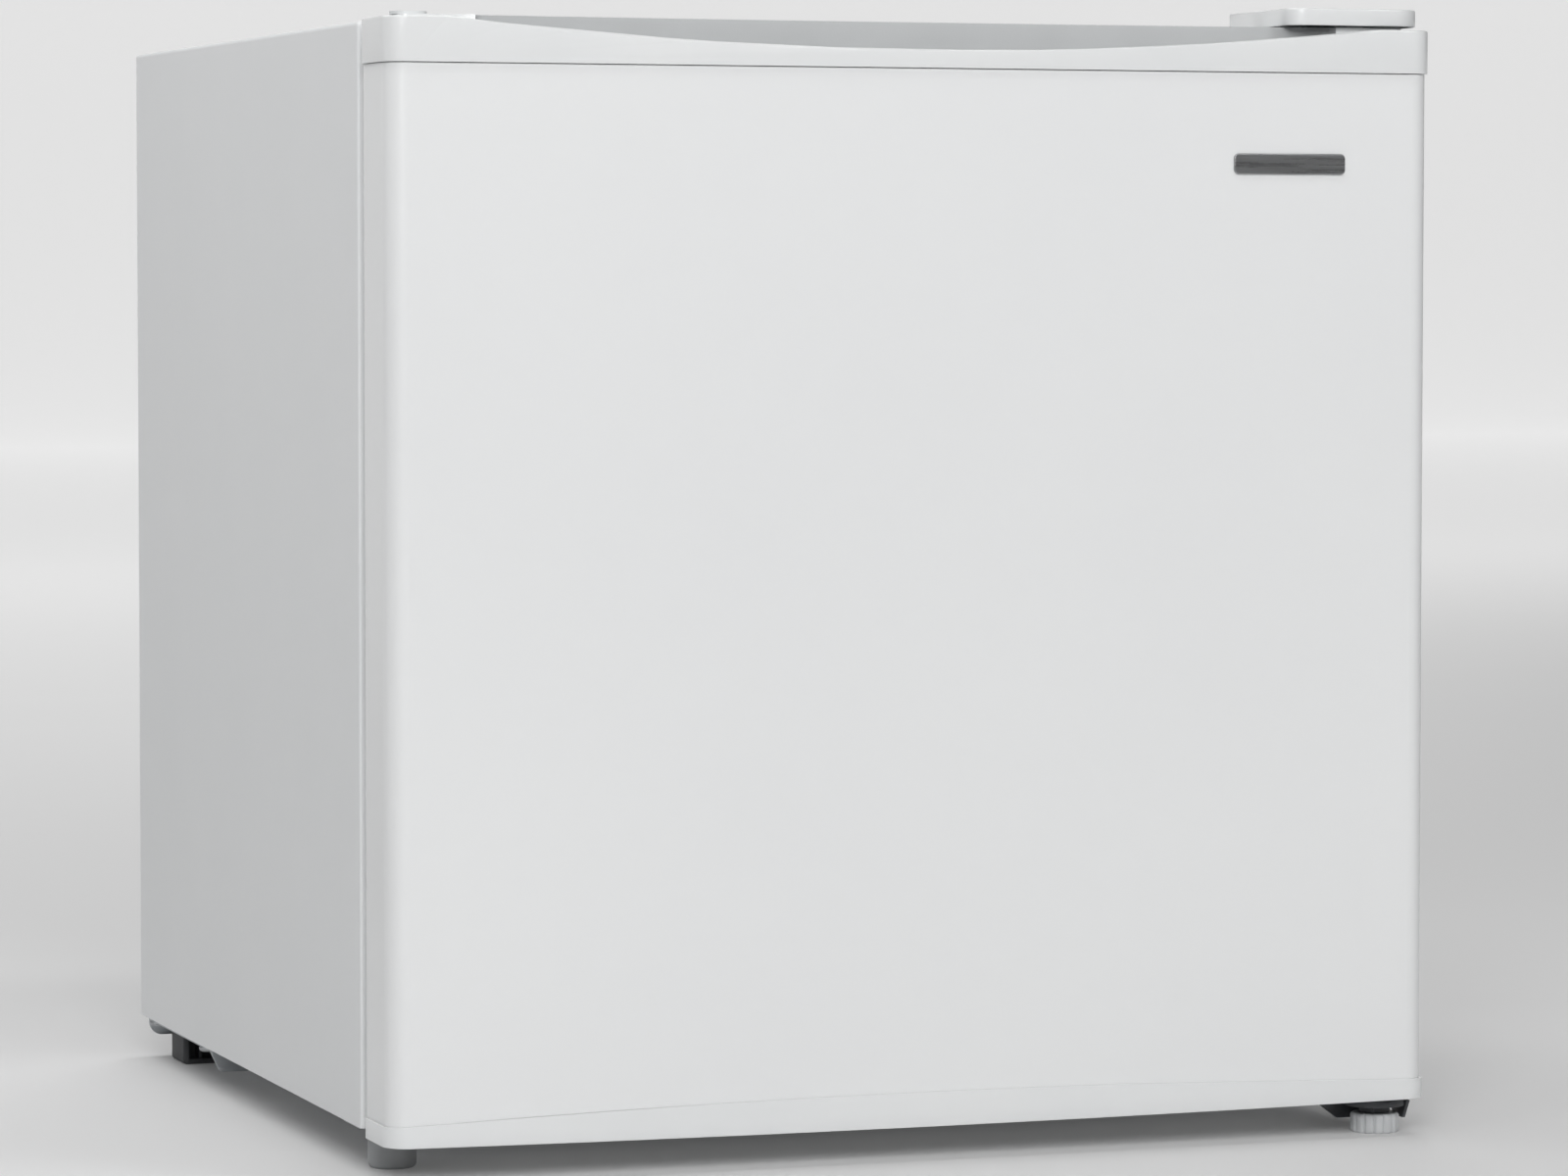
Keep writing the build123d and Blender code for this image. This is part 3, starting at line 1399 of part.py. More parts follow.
# Gasket: hollow vinyl frame with a magnet strip in each side
gasket_top = cap_seam - 2.0
gasket_bottom = cabinet_bottom + 13.5
gasket_depth = cabinet_front - gasket_lift - door_back - 0.1
gasket_mid = (gasket_top + gasket_bottom) / 2
magnet_back = cabinet_front - gasket_lift - 0.7
magnet_front = magnet_back - magnet_thickness
gasket_centre = gasket_width / 2


def frame_sketch(plane, inset_outer, inset_inner, outer_radius, inner_radius):
    """Rectangular ring between two insets from the gasket's outline."""
    with BuildSketch(plane) as ring:
        with Locations((0, gasket_mid)):
            RectangleRounded(
                2 * (gasket_half - inset_outer),
                gasket_top - gasket_bottom - 2 * inset_outer,
                outer_radius,
            )
            RectangleRounded(
                2 * (gasket_half - inset_inner),
                gasket_top - gasket_bottom - 2 * inset_inner,
                inner_radius,
                mode=Mode.SUBTRACT,
            )
    return ring.sketch


channel_half = magnet_width / 2 + 0.2
with BuildPart() as door_gasket:
    extrude(frame_sketch(facing(door_back + 0.1), 4, gasket_width - 4, 4, 1), amount=-gasket_depth)
    extrude(
        frame_sketch(facing(magnet_front - 0.9), 0, gasket_width, 5, 1),
        amount=-(cabinet_front - gasket_lift - magnet_front + 0.9),
    )
    extrude(frame_sketch(facing(door_back + 0.1), 1.5, gasket_width - 1.5, 5, 1), amount=-1.2)
    extrude(
        frame_sketch(
            facing(magnet_front - 0.2), gasket_centre - channel_half, gasket_centre + channel_half, 2, 0.5
        ),
        amount=-(magnet_thickness + 0.4),
        mode=Mode.SUBTRACT,
    )
save(door_gasket, "door_gasket")

magnet_inset = gasket_centre
with BuildPart() as gasket_magnets:
    for side in (-1, 1):
        x = side * (gasket_half - magnet_inset)
        block(
            (x - magnet_width / 2, x + magnet_width / 2),
            (magnet_front, magnet_back),
            (gasket_bottom + magnet_inset + 12, gasket_top - magnet_inset - 12),
        )
    for z in (gasket_bottom + magnet_inset, gasket_top - magnet_inset):
        block(
            (-gasket_half + magnet_inset + 12, gasket_half - magnet_inset - 12),
            (magnet_front, magnet_back),
            (z - magnet_width / 2, z + magnet_width / 2),
        )
save(gasket_magnets, "gasket_magnets")

# Hinge bushes pressed into the right-hand bosses, plugs in the left-hand ones
bush_flange = 1.3
with BuildPart() as upper_bush:
    post(pivot_x, pivot_y, (cap_seam + 2, band_top), bush_outer)
    post(pivot_x, pivot_y, (band_top, band_top + bush_flange), bush_outer + 2)
    post(pivot_x, pivot_y, (cap_seam + 3.5, band_top + 3), pin_radius + pin_clearance, Mode.SUBTRACT)
save(upper_bush, "upper_bush")

bush_seat = tongue_top + fit
with BuildPart() as lower_bush:
    post(pivot_x, pivot_y, (bush_seat, bottom_boss_top), bush_outer)
    post(pivot_x, pivot_y, (bush_seat, bush_seat + 0.6), bush_outer + 2)
    post(pivot_x, pivot_y, (bush_seat - 1, panel_bottom + 12), stud_radius + pin_clearance, Mode.SUBTRACT)
save(lower_bush, "lower_bush")

with BuildPart() as door_plugs:
    post(plug_x, pivot_y, (band_top - 8, band_top), bush_outer)
    post(plug_x, pivot_y, (band_top, band_top + 1.2), bush_outer + 1.8)
    post(plug_x, pivot_y, (sill_bottom_end + 0.3, sill_bottom_end + 8), bush_outer)
    post(plug_x, pivot_y, (sill_bottom_end - 1.6, sill_bottom_end - 0.5), bush_outer + 1.8)
    post(plug_x, pivot_y, (sill_bottom_end - 0.8, sill_bottom_end + 1), bush_outer - 1)
save(door_plugs, "door_plugs")

# Badge: plain rounded plate on the panel
badge_width = 52.0
badge_height = 9.0
badge_x = 167.5
badge_z = cap_seam - 39.5
with BuildPart() as badge_plate:
    with BuildSketch(facing(panel_front)):
        with Locations((badge_x, badge_z)):
            RectangleRounded(badge_width, badge_height, 2.2)
    extrude(amount=1.1)
    fillet(badge_plate.faces().sort_by(Axis.Y)[0].edges(), 0.5)
save(badge_plate, "badge_plate")

# Door bins: trays that hang on the liner's lugs and lift off
bin_rear = door_back + 0.6
bin_front = bin_rear + bin_depth
pad_reach = bin_end - dyke_inner + lug_reach + 2.6 + 1.5
for name, level, rise, lug in (
    ("lower_bin", lower_bin, lower_bin_height, lug_levels[0]),
    ("upper_bin", upper_bin, upper_bin_height, lug_levels[1]),
):
    with BuildPart() as door_bin:
        block((-bin_end, bin_end), (bin_rear, bin_front), (level, level + rise))
        fillet(door_bin.edges().filter_by(Axis.Z).group_by(Axis.Y)[-1], 14)
        fillet(door_bin.faces().sort_by(Axis.Z)[0].edges(), 3)
        with BuildSketch(Plane.XY.offset(level + bin_wall)) as well:
            with Locations((0, (bin_rear + bin_front) / 2)):
                Rectangle(2 * (bin_end - bin_wall), bin_depth - 2 * bin_wall)
            fillet(well.vertices().group_by(Axis.Y)[-1], 12)
            fillet(well.vertices().group_by(Axis.Y)[0], 2)
        extrude(amount=rise, mode=Mode.SUBTRACT)
        block(
            (-bin_end + 40, bin_end - 40),
            (bin_rear - 1, bin_rear + bin_wall + 1),
            (level + 0.5 * rise, level + rise + 1),
            Mode.SUBTRACT,
        )
        for side in (-1, 1):
            wall_x = side * (bin_end - 1)
            pad_x = side * (bin_end - pad_reach)
            block(
                (min(wall_x, pad_x), max(wall_x, pad_x)),
                (lug_front - fit - 2, lug_back + fit + 2),
                (level + 1, lug + lug_height + 4),
            )
            edge_x = side * (bin_end + 2)
            deep_x = side * (dyke_inner - lug_reach - 1.0)
            block(
                (min(edge_x, deep_x), max(edge_x, deep_x)),
                (lug_front - fit, lug_back + fit),
                (level - 1, lug + lug_height + fit),
                Mode.SUBTRACT,
            )
    save(door_bin, name)
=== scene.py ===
import json
import math

import bmesh
import bpy
from mathutils import Matrix, Vector


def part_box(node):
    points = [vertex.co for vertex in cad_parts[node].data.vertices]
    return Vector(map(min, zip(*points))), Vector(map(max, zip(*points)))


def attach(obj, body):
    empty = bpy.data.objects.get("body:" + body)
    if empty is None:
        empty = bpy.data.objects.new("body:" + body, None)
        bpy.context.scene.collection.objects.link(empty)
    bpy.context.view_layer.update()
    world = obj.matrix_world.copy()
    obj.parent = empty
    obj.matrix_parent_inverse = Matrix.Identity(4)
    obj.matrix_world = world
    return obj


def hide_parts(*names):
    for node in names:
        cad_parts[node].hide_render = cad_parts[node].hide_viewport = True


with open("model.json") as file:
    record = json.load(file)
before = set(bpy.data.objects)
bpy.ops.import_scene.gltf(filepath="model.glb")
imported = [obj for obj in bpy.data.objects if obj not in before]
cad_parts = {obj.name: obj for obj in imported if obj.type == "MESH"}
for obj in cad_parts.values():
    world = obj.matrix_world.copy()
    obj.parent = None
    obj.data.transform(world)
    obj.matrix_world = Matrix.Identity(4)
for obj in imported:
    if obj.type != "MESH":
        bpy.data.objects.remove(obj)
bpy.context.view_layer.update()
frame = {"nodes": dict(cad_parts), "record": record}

nodes = frame["nodes"]
bodyOfNode = {
    member: body for body, members in frame["record"]["behaviour"]["bodies"].items() for member in members
}
slotOfNode = {part["node"]: part["material_slot"] for part in frame["record"]["subparts"]}
print("frame loaded:", len(nodes), "nodes")


def linearColour(hexColour):
    channels = [int(hexColour[i : i + 2], 16) / 255 for i in (1, 3, 5)]
    return (*[c / 12.92 if c <= 0.04045 else ((c + 0.055) / 1.055) ** 2.4 for c in channels], 1.0)


def addNode(tree, kind, inputs=None, **settings):
    node = tree.nodes.new(kind)
    for key, value in settings.items():
        setattr(node, key, value)
    for key, value in (inputs or {}).items():
        socket = node.inputs[key]
        for item in value if isinstance(value, list) else [value]:
            if isinstance(item, bpy.types.NodeSocket):
                tree.links.new(item, socket)
            else:
                socket.default_value = item
    return node


def startMaterial(name):
    material = bpy.data.materials.new(name)
    material.use_nodes = True
    tree = material.node_tree
    tree.nodes.clear()
    shader = addNode(tree, "ShaderNodeBsdfPrincipled")
    addNode(tree, "ShaderNodeOutputMaterial", {"Surface": shader.outputs["BSDF"]})
    place = addNode(tree, "ShaderNodeTexCoord").outputs["Object"]
    return material, tree, shader, place


def perMm(size):
    return 1000.0 / size


# Painted, moulded and rubber surfaces. Each row: colour and its duller tone, gloss, and the size
# and depth of the surface's own texture in mm
solidFinishes = {
    # powder coat baked on steel: a soft satin with a fine orange peel that breaks up reflections
    "powderCoatSprayedSteel": dict(
        colour="#EDEEEF", tone="#E6E8E9", toneSize=90, rough=0.42, roughSwing=0.06,
        grain=2.4, depth=0.030, fine=0.5, coat=0.0,
    ),
    # coil-coated sheet: smoother and glossier than powder, with long faint rolling waves
    "coilCoatRolledSteel": dict(
        colour="#F0F1F1", tone="#EBECED", toneSize=260, rough=0.32, roughSwing=0.05,
        grain=5.0, depth=0.012, fine=0.35, coat=0.3,
    ),
    # ABS from a polished mould: even white with a faint spark texture
    "absMoulded": dict(
        colour="#EEEFEF", tone="#E7E9EA", toneSize=60, rough=0.31, roughSwing=0.07,
        grain=0.9, depth=0.008, fine=0.45, coat=0.5,
    ),
    # the same ABS from a spark-eroded part of the mould: matt, a grip for the fingers; its duller grey colour
    # is painted shade in the recess of the finger pull
    "absPullTexturedPaintedShade": dict(
        colour="#C6C8C9", tone="#BCBEBF", toneSize=30, rough=0.62, roughSwing=0.08,
        grain=0.6, depth=0.03, fine=0.6, coat=0.0,
    ),
    # polystyrene sheet sucked over a former: glossy, with slow waves where it stretched
    "polystyreneVacuumFormed": dict(
        colour="#EEF1F3", tone="#E4E9EC", toneSize=70, rough=0.26, roughSwing=0.06,
        grain=14.0, depth=0.090, fine=0.2, coat=0.15,
    ),
    # small white mouldings inside, a little matter than the caps
    "polypropyleneMoulded": dict(
        colour="#ECEEEE", tone="#E0E3E4", toneSize=40, rough=0.38, roughSwing=0.08,
        grain=1.1, depth=0.018, fine=0.5, coat=0.0,
    ),
    # plasticised PVC drawn through a die: silky and a little grey, with lengthwise lines
    "pvcExtruded": dict(
        colour="#E9EAE9", tone="#DCDEDD", toneSize=25, rough=0.52, roughSwing=0.08,
        grain=0.7, depth=0.022, fine=0.3, coat=0.0,
    ),
    # glass-filled nylon in grey: dull, with a gritty surface
    "polyamideMouldedGrey": dict(
        colour="#B2B4B6", tone="#9FA1A3", toneSize=12, rough=0.55, roughSwing=0.1,
        grain=0.8, depth=0.045, fine=0.6, coat=0.0,
    ),
    # the same nylon in a pale grey, scuffed where it turns on the floor
    "polyamideMouldedPale": dict(
        colour="#D4D6D7", tone="#BEC0C2", toneSize=9, rough=0.46, roughSwing=0.12,
        grain=0.8, depth=0.04, fine=0.6, coat=0.0,
    ),
    # dark zinc-nickel passivated steel, pressed: charcoal with a dull sheen, made darker still as painted
    # shade for the bracket under the door
    "passivatedSteelAndPaintedShade": dict(
        colour="#4E5053", tone="#3A3C3F", toneSize=10, rough=0.4, roughSwing=0.1,
        grain=1.6, depth=0.02, fine=0.5, coat=0.0,
    ),
    # black polypropylene under the cabinet: dull and slightly dusty
    "polypropyleneMouldedDark": dict(
        colour="#4A4C4E", tone="#3B3D3F", toneSize=14, rough=0.58, roughSwing=0.1,
        grain=1.0, depth=0.04, fine=0.6, coat=0.0,
    ),
    # EPDM pressed in a mould: near black, no sparkle
    "epdmRubberMoulded": dict(
        colour="#232324", tone="#1A1A1B", toneSize=8, rough=0.72, roughSwing=0.08,
        grain=0.9, depth=0.05, fine=0.6, coat=0.0,
    ),
    # stoved enamel on a drawn steel can: black, wet-looking, slightly rippled
    "stovedEnamelBlack": dict(
        colour="#17181A", tone="#0F1011", toneSize=30, rough=0.24, roughSwing=0.1,
        grain=3.5, depth=0.06, fine=0.3, coat=0.4,
    ),
    # barium ferrite in rubber: dark brown and chalky
    "ferriteStripExtruded": dict(
        colour="#3A322E", tone="#2E2825", toneSize=10, rough=0.7, roughSwing=0.08,
        grain=0.6, depth=0.03, fine=0.5, coat=0.0,
    ),
    # polyethylene melted onto wire: thick, rounded and slightly uneven
    "polyethyleneDippedWire": dict(
        colour="#EEF0F0", tone="#E2E5E6", toneSize=18, rough=0.27, roughSwing=0.06,
        grain=3.0, depth=0.09, fine=0.2, coat=0.1,
    ),
}


def makeSolidFinish(name, look):
    material, tree, shader, place = startMaterial(name)
    cloud = addNode(
        tree, "ShaderNodeTexNoise", {"Vector": place, "Scale": perMm(look["toneSize"]), "Detail": 3.0}
    )
    mix = addNode(
        tree, "ShaderNodeMix", {"Factor": cloud.outputs["Fac"]}, data_type="RGBA"
    )
    for item in mix.inputs:
        if item.type == "RGBA":
            item.default_value = linearColour(look["tone"] if item.name == "A" else look["colour"])
    peel = addNode(
        tree, "ShaderNodeTexNoise", {"Vector": place, "Scale": perMm(look["grain"]), "Detail": 2.0}
    )
    pits = addNode(
        tree, "ShaderNodeTexNoise", {"Vector": place, "Scale": perMm(look["grain"] * 0.32), "Detail": 1.0}
    )
    both = addNode(
        tree, "ShaderNodeMath", {0: pits.outputs["Fac"], 1: look["fine"], 2: peel.outputs["Fac"]},
        operation="MULTIPLY_ADD",
    )
    bump = addNode(
        tree, "ShaderNodeBump",
        {"Height": both.outputs[0], "Strength": 0.8, "Distance": look["depth"] / 1000},
    )
    gloss = addNode(
        tree, "ShaderNodeMapRange",
        {
            "Value": cloud.outputs["Fac"],
            "To Min": look["rough"] - look["roughSwing"], "To Max": look["rough"] + look["roughSwing"],
        },
    )
    tree.links.new([o for o in mix.outputs if o.type == "RGBA"][0], shader.inputs["Base Color"])
    tree.links.new(gloss.outputs[0], shader.inputs["Roughness"])
    tree.links.new(bump.outputs[0], shader.inputs["Normal"])
    shader.inputs["Coat Weight"].default_value = look["coat"]
    shader.inputs["Coat Roughness"].default_value = 0.12
    return material


materials = {name: makeSolidFinish(name, look) for name, look in solidFinishes.items()}

# Metals; stretch draws the texture out along one axis: 1 for even, more for brushed or drawn
metalFinishes = {
    # zinc plate on pressed steel: grey with a soft cloudy bloom
    "zincPlatedPressedSteel": dict(
        colour="#B9BBBD", tone="#8E9194", size=7, stretch=(1, 1, 1),
        rough=0.34, roughSwing=0.12, depth=0.02,
    ),
    # roll-bonded aluminium: satin, with faint rolling lines
    "aluminiumRollBonded": dict(
        colour="#D9DBDD", tone="#C2C5C8", size=5, stretch=(1, 0.06, 1),
        rough=0.36, roughSwing=0.1, depth=0.02,
    ),
    # hard-drawn copper: warm, darkened in patches by handling and brazing
    "copperDrawn": dict(
        colour="#C47A50", tone="#8A5136", size=9, stretch=(1, 1, 0.3),
        rough=0.3, roughSwing=0.14, depth=0.015,
    ),
    # nickel-plated badge, brushed along its length
    "nickelBrushed": dict(
        colour="#B4B5B6", tone="#8F9092", size=1.2, stretch=(0.03, 1, 1),
        rough=0.3, roughSwing=0.1, depth=0.01,
    ),
}


def makeMetal(name, look):
    material, tree, shader, place = startMaterial(name)
    turned = addNode(tree, "ShaderNodeMapping", {"Vector": place, "Scale": look["stretch"]})
    cloud = addNode(
        tree, "ShaderNodeTexNoise",
        {"Vector": turned.outputs[0], "Scale": perMm(look["size"]), "Detail": 5.0, "Roughness": 0.6},
    )
    ramp = addNode(tree, "ShaderNodeValToRGB", {"Fac": cloud.outputs["Fac"]})
    ramp.color_ramp.elements[0].position, ramp.color_ramp.elements[1].position = 0.32, 0.68
    ramp.color_ramp.elements[0].color = linearColour(look["tone"])
    ramp.color_ramp.elements[1].color = linearColour(look["colour"])
    gloss = addNode(
        tree, "ShaderNodeMapRange",
        {
            "Value": cloud.outputs["Fac"], "From Min": 0.3, "From Max": 0.7,
            "To Min": look["rough"] + look["roughSwing"], "To Max": look["rough"] - look["roughSwing"],
        },
    )
    bump = addNode(
        tree, "ShaderNodeBump",
        {"Height": cloud.outputs["Fac"], "Strength": 0.5, "Distance": look["depth"] / 1000},
    )
    tree.links.new(ramp.outputs["Color"], shader.inputs["Base Color"])
    tree.links.new(gloss.outputs[0], shader.inputs["Roughness"])
    tree.links.new(bump.outputs[0], shader.inputs["Normal"])
    shader.inputs["Metallic"].default_value = 1.0
    return material


materials.update({name: makeMetal(name, look) for name, look in metalFinishes.items()})

# Hot-dipped zinc: flat crystals a centimetre across, each catching the light on its own
galvanised = {"spangle": 11, "pale": "#C9CCCE", "dark": "#A2A6AA", "rough": (0.3, 0.46)}


def makeGalvanised():
    material, tree, shader, place = startMaterial("galvanisedDippedSteel")
    cells = addNode(
        tree, "ShaderNodeTexVoronoi",
        {"Vector": place, "Scale": perMm(galvanised["spangle"]), "Randomness": 1.0},
    )
    grey = addNode(tree, "ShaderNodeRGBToBW", {"Color": cells.outputs["Color"]})
    ramp = addNode(tree, "ShaderNodeValToRGB", {"Fac": grey.outputs[0]})
    ramp.color_ramp.elements[0].color = linearColour(galvanised["dark"])
    ramp.color_ramp.elements[1].color = linearColour(galvanised["pale"])
    gloss = addNode(
        tree, "ShaderNodeMapRange",
        {"Value": grey.outputs[0], "To Min": galvanised["rough"][0], "To Max": galvanised["rough"][1]},
    )
    frost = addNode(tree, "ShaderNodeTexNoise", {"Vector": place, "Scale": perMm(1.5), "Detail": 4.0})
    bump = addNode(
        tree, "ShaderNodeBump", {"Height": frost.outputs["Fac"], "Strength": 0.4, "Distance": 0.00003}
    )
    tree.links.new(ramp.outputs["Color"], shader.inputs["Base Color"])
    tree.links.new(gloss.outputs[0], shader.inputs["Roughness"])
    tree.links.new(bump.outputs[0], shader.inputs["Normal"])
    shader.inputs["Metallic"].default_value = 1.0
    return material


materials["galvanisedDippedSteel"] = makeGalvanised()

# Clear polystyrene: see-through with a cool cast, brighter at its edges
clearFinishes = {
    "polystyreneClearMoulded": dict(colour="#DCEAF1", rough=0.12, clear=0.82),
    "polystyreneFrostedMoulded": dict(colour="#E4EEF3", rough=0.3, clear=0.6),
}


def makeClear(name, look):
    material, tree, shader, place = startMaterial(name)
    flow = addNode(tree, "ShaderNodeTexNoise", {"Vector": place, "Scale": perMm(22), "Detail": 2.0})
    bump = addNode(
        tree, "ShaderNodeBump", {"Height": flow.outputs["Fac"], "Strength": 0.5, "Distance": 0.0001}
    )
    gloss = addNode(
        tree, "ShaderNodeMapRange",
        {"Value": flow.outputs["Fac"], "To Min": look["rough"] - 0.05, "To Max": look["rough"] + 0.08},
    )
    tree.links.new(bump.outputs[0], shader.inputs["Normal"])
    tree.links.new(gloss.outputs[0], shader.inputs["Roughness"])
    shader.inputs["Base Color"].default_value = linearColour(look["colour"])
    shader.inputs["Transmission Weight"].default_value = look["clear"]
    shader.inputs["IOR"].default_value = 1.59
    return material


materials.update({name: makeClear(name, look) for name, look in clearFinishes.items()})

# Rigid foam: straw-coloured, full of cells under a millimetre, drawn at 1.6 mm so that they show
foam = {"cell": 1.6, "colour": "#E6D6A0", "dark": "#C7B377"}


def makeFoam():
    material, tree, shader, place = startMaterial("polyurethaneFoamed")
    cells = addNode(tree, "ShaderNodeTexVoronoi", {"Vector": place, "Scale": perMm(foam["cell"])})
    ramp = addNode(tree, "ShaderNodeValToRGB", {"Fac": cells.outputs["Distance"]})
    ramp.color_ramp.elements[0].color = linearColour(foam["dark"])
    ramp.color_ramp.elements[1].color = linearColour(foam["colour"])
    bump = addNode(
        tree, "ShaderNodeBump", {"Height": cells.outputs["Distance"], "Strength": 0.8, "Distance": 0.0003}
    )
    tree.links.new(ramp.outputs["Color"], shader.inputs["Base Color"])
    tree.links.new(bump.outputs[0], shader.inputs["Normal"])
    shader.inputs["Roughness"].default_value = 0.85
    return material


materials["polyurethaneFoamed"] = makeFoam()

materialOfSlot = {
    "shell_paint": "powderCoatSprayedSteel",
    "door_paint": "coilCoatRolledSteel",
    "cap_plastic": "absMoulded",
    "liner_plastic": "polystyreneVacuumFormed",
    "foam": "polyurethaneFoamed",
    "gasket_vinyl": "pvcExtruded",
    "magnet": "ferriteStripExtruded",
    "zinc_steel": "zincPlatedPressedSteel",
    "galvanised": "galvanisedDippedSteel",
    "black_steel": "stovedEnamelBlack",
    "copper": "copperDrawn",
    "grey_plastic": "polyamideMouldedGrey",
    "wheel_plastic": "polyamideMouldedPale",
    "dark_plastic": "polypropyleneMouldedDark",
    "evap_aluminium": "aluminiumRollBonded",
    "clear_plastic": "polystyreneFrostedMoulded",
    "bin_plastic": "polystyreneClearMoulded",
    "white_plastic": "polypropyleneMoulded",
    "shelf_wire": "polyethyleneDippedWire",
    "black_rubber": "epdmRubberMoulded",
    "badge_metal": "nickelBrushed",
}

# the pressed foot bracket is darker than the other zinc parts: partly its passivation, partly painted shade
# under the door
materialOfNode = {"lower_hinge": "passivatedSteelAndPaintedShade"}

for name, item in nodes.items():
    item.data.materials.clear()
    item.data.materials.append(materials[materialOfNode.get(name, materialOfSlot[slotOfNode[name]])])
print("materials made:", len(materials))


sharpAngle = 40  # degrees; flatter meetings of faces are shaded smooth


def startTree(name, sizes):
    tree = bpy.data.node_groups.new(name, "GeometryNodeTree")
    for label, kind in sizes.items():
        tree.interface.new_socket(label, in_out="INPUT", socket_type=kind)
    tree.interface.new_socket("Geometry", in_out="OUTPUT", socket_type="NodeSocketGeometry")
    given = addNode(tree, "NodeGroupInput").outputs
    return tree, given


def endTree(tree, geometry, material):
    whole = addNode(tree, "GeometryNodeRealizeInstances", {"Geometry": geometry})
    smooth = addNode(tree, "GeometryNodeSetShadeSmooth", {"Geometry": whole.outputs[0]})
    painted = addNode(tree, "GeometryNodeSetMaterial", {"Geometry": smooth.outputs[0], "Material": material})
    addNode(tree, "NodeGroupOutput", {"Geometry": painted.outputs[0]})


def growPiece(name, tree, values, node):
    piece = bpy.data.objects.new(name, bpy.data.meshes.new(name))
    bpy.context.scene.collection.objects.link(piece)
    grow = piece.modifiers.new("grow", "NODES")
    grow.node_group = tree
    for item in tree.interface.items_tree:
        if item.in_out == "INPUT" and item.name in values:
            grow[item.identifier] = values[item.name]
    bpy.context.view_layer.update()
    evaluated = piece.evaluated_get(bpy.context.evaluated_depsgraph_get())
    mesh = bpy.data.meshes.new_from_object(evaluated)
    piece.modifiers.remove(grow)
    piece.data = mesh
    mesh.name = name
    mesh.set_sharp_from_angle(angle=math.radians(sharpAngle))
    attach(piece, bodyOfNode[node])
    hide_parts(node)


def mathOf(tree, operation, *values):
    return addNode(tree, "ShaderNodeMath", dict(enumerate(values)), operation=operation).outputs[0]


def vectorOf(tree, x=0.0, y=0.0, z=0.0):
    return addNode(tree, "ShaderNodeCombineXYZ", {"X": x, "Y": y, "Z": z}).outputs[0]


def pointParts(tree):
    point = addNode(tree, "GeometryNodeInputPosition").outputs[0]
    return addNode(tree, "ShaderNodeSeparateXYZ", {"Vector": point}).outputs


def reshape(tree, geometry, x, y, z=0.0):
    moved = vectorOf(tree, x, y, z)
    return addNode(tree, "GeometryNodeSetPosition", {"Geometry": geometry, "Position": moved}).outputs[0]


def placeGeometry(tree, geometry, shift, turn=(0.0, 0.0, 0.0)):
    settings = {"Geometry": geometry, "Translation": shift, "Rotation": turn}
    return addNode(tree, "GeometryNodeTransform", settings).outputs[0]


def sweep(tree, path, profile, **ends):
    settings = {"Curve": path, "Profile Curve": profile, **ends}
    return addNode(tree, "GeometryNodeCurveToMesh", settings).outputs[0]


def circleOf(tree, radius, points):
    settings = {"Resolution": points, "Radius": radius}
    return addNode(tree, "GeometryNodeCurvePrimitiveCircle", settings).outputs[0]


# Shelf: one bent rim, wires welded across it and two bearers underneath, in metres
shelf = {
    "rimWire": 0.005, "wire": 0.0025, "wires": 25, "corner": 0.014,
    "wireMargin": 0.02,  # from the side of the rim to the first wire
    "bearers": 2, "bearerFront": -0.07, "bearerGap": 0.14, "bearerDrop": -0.0012, "bearerExtra": 0.0002,
    "roundness": 12, "rimRoundness": 16, "cornerPoints": 8,
}


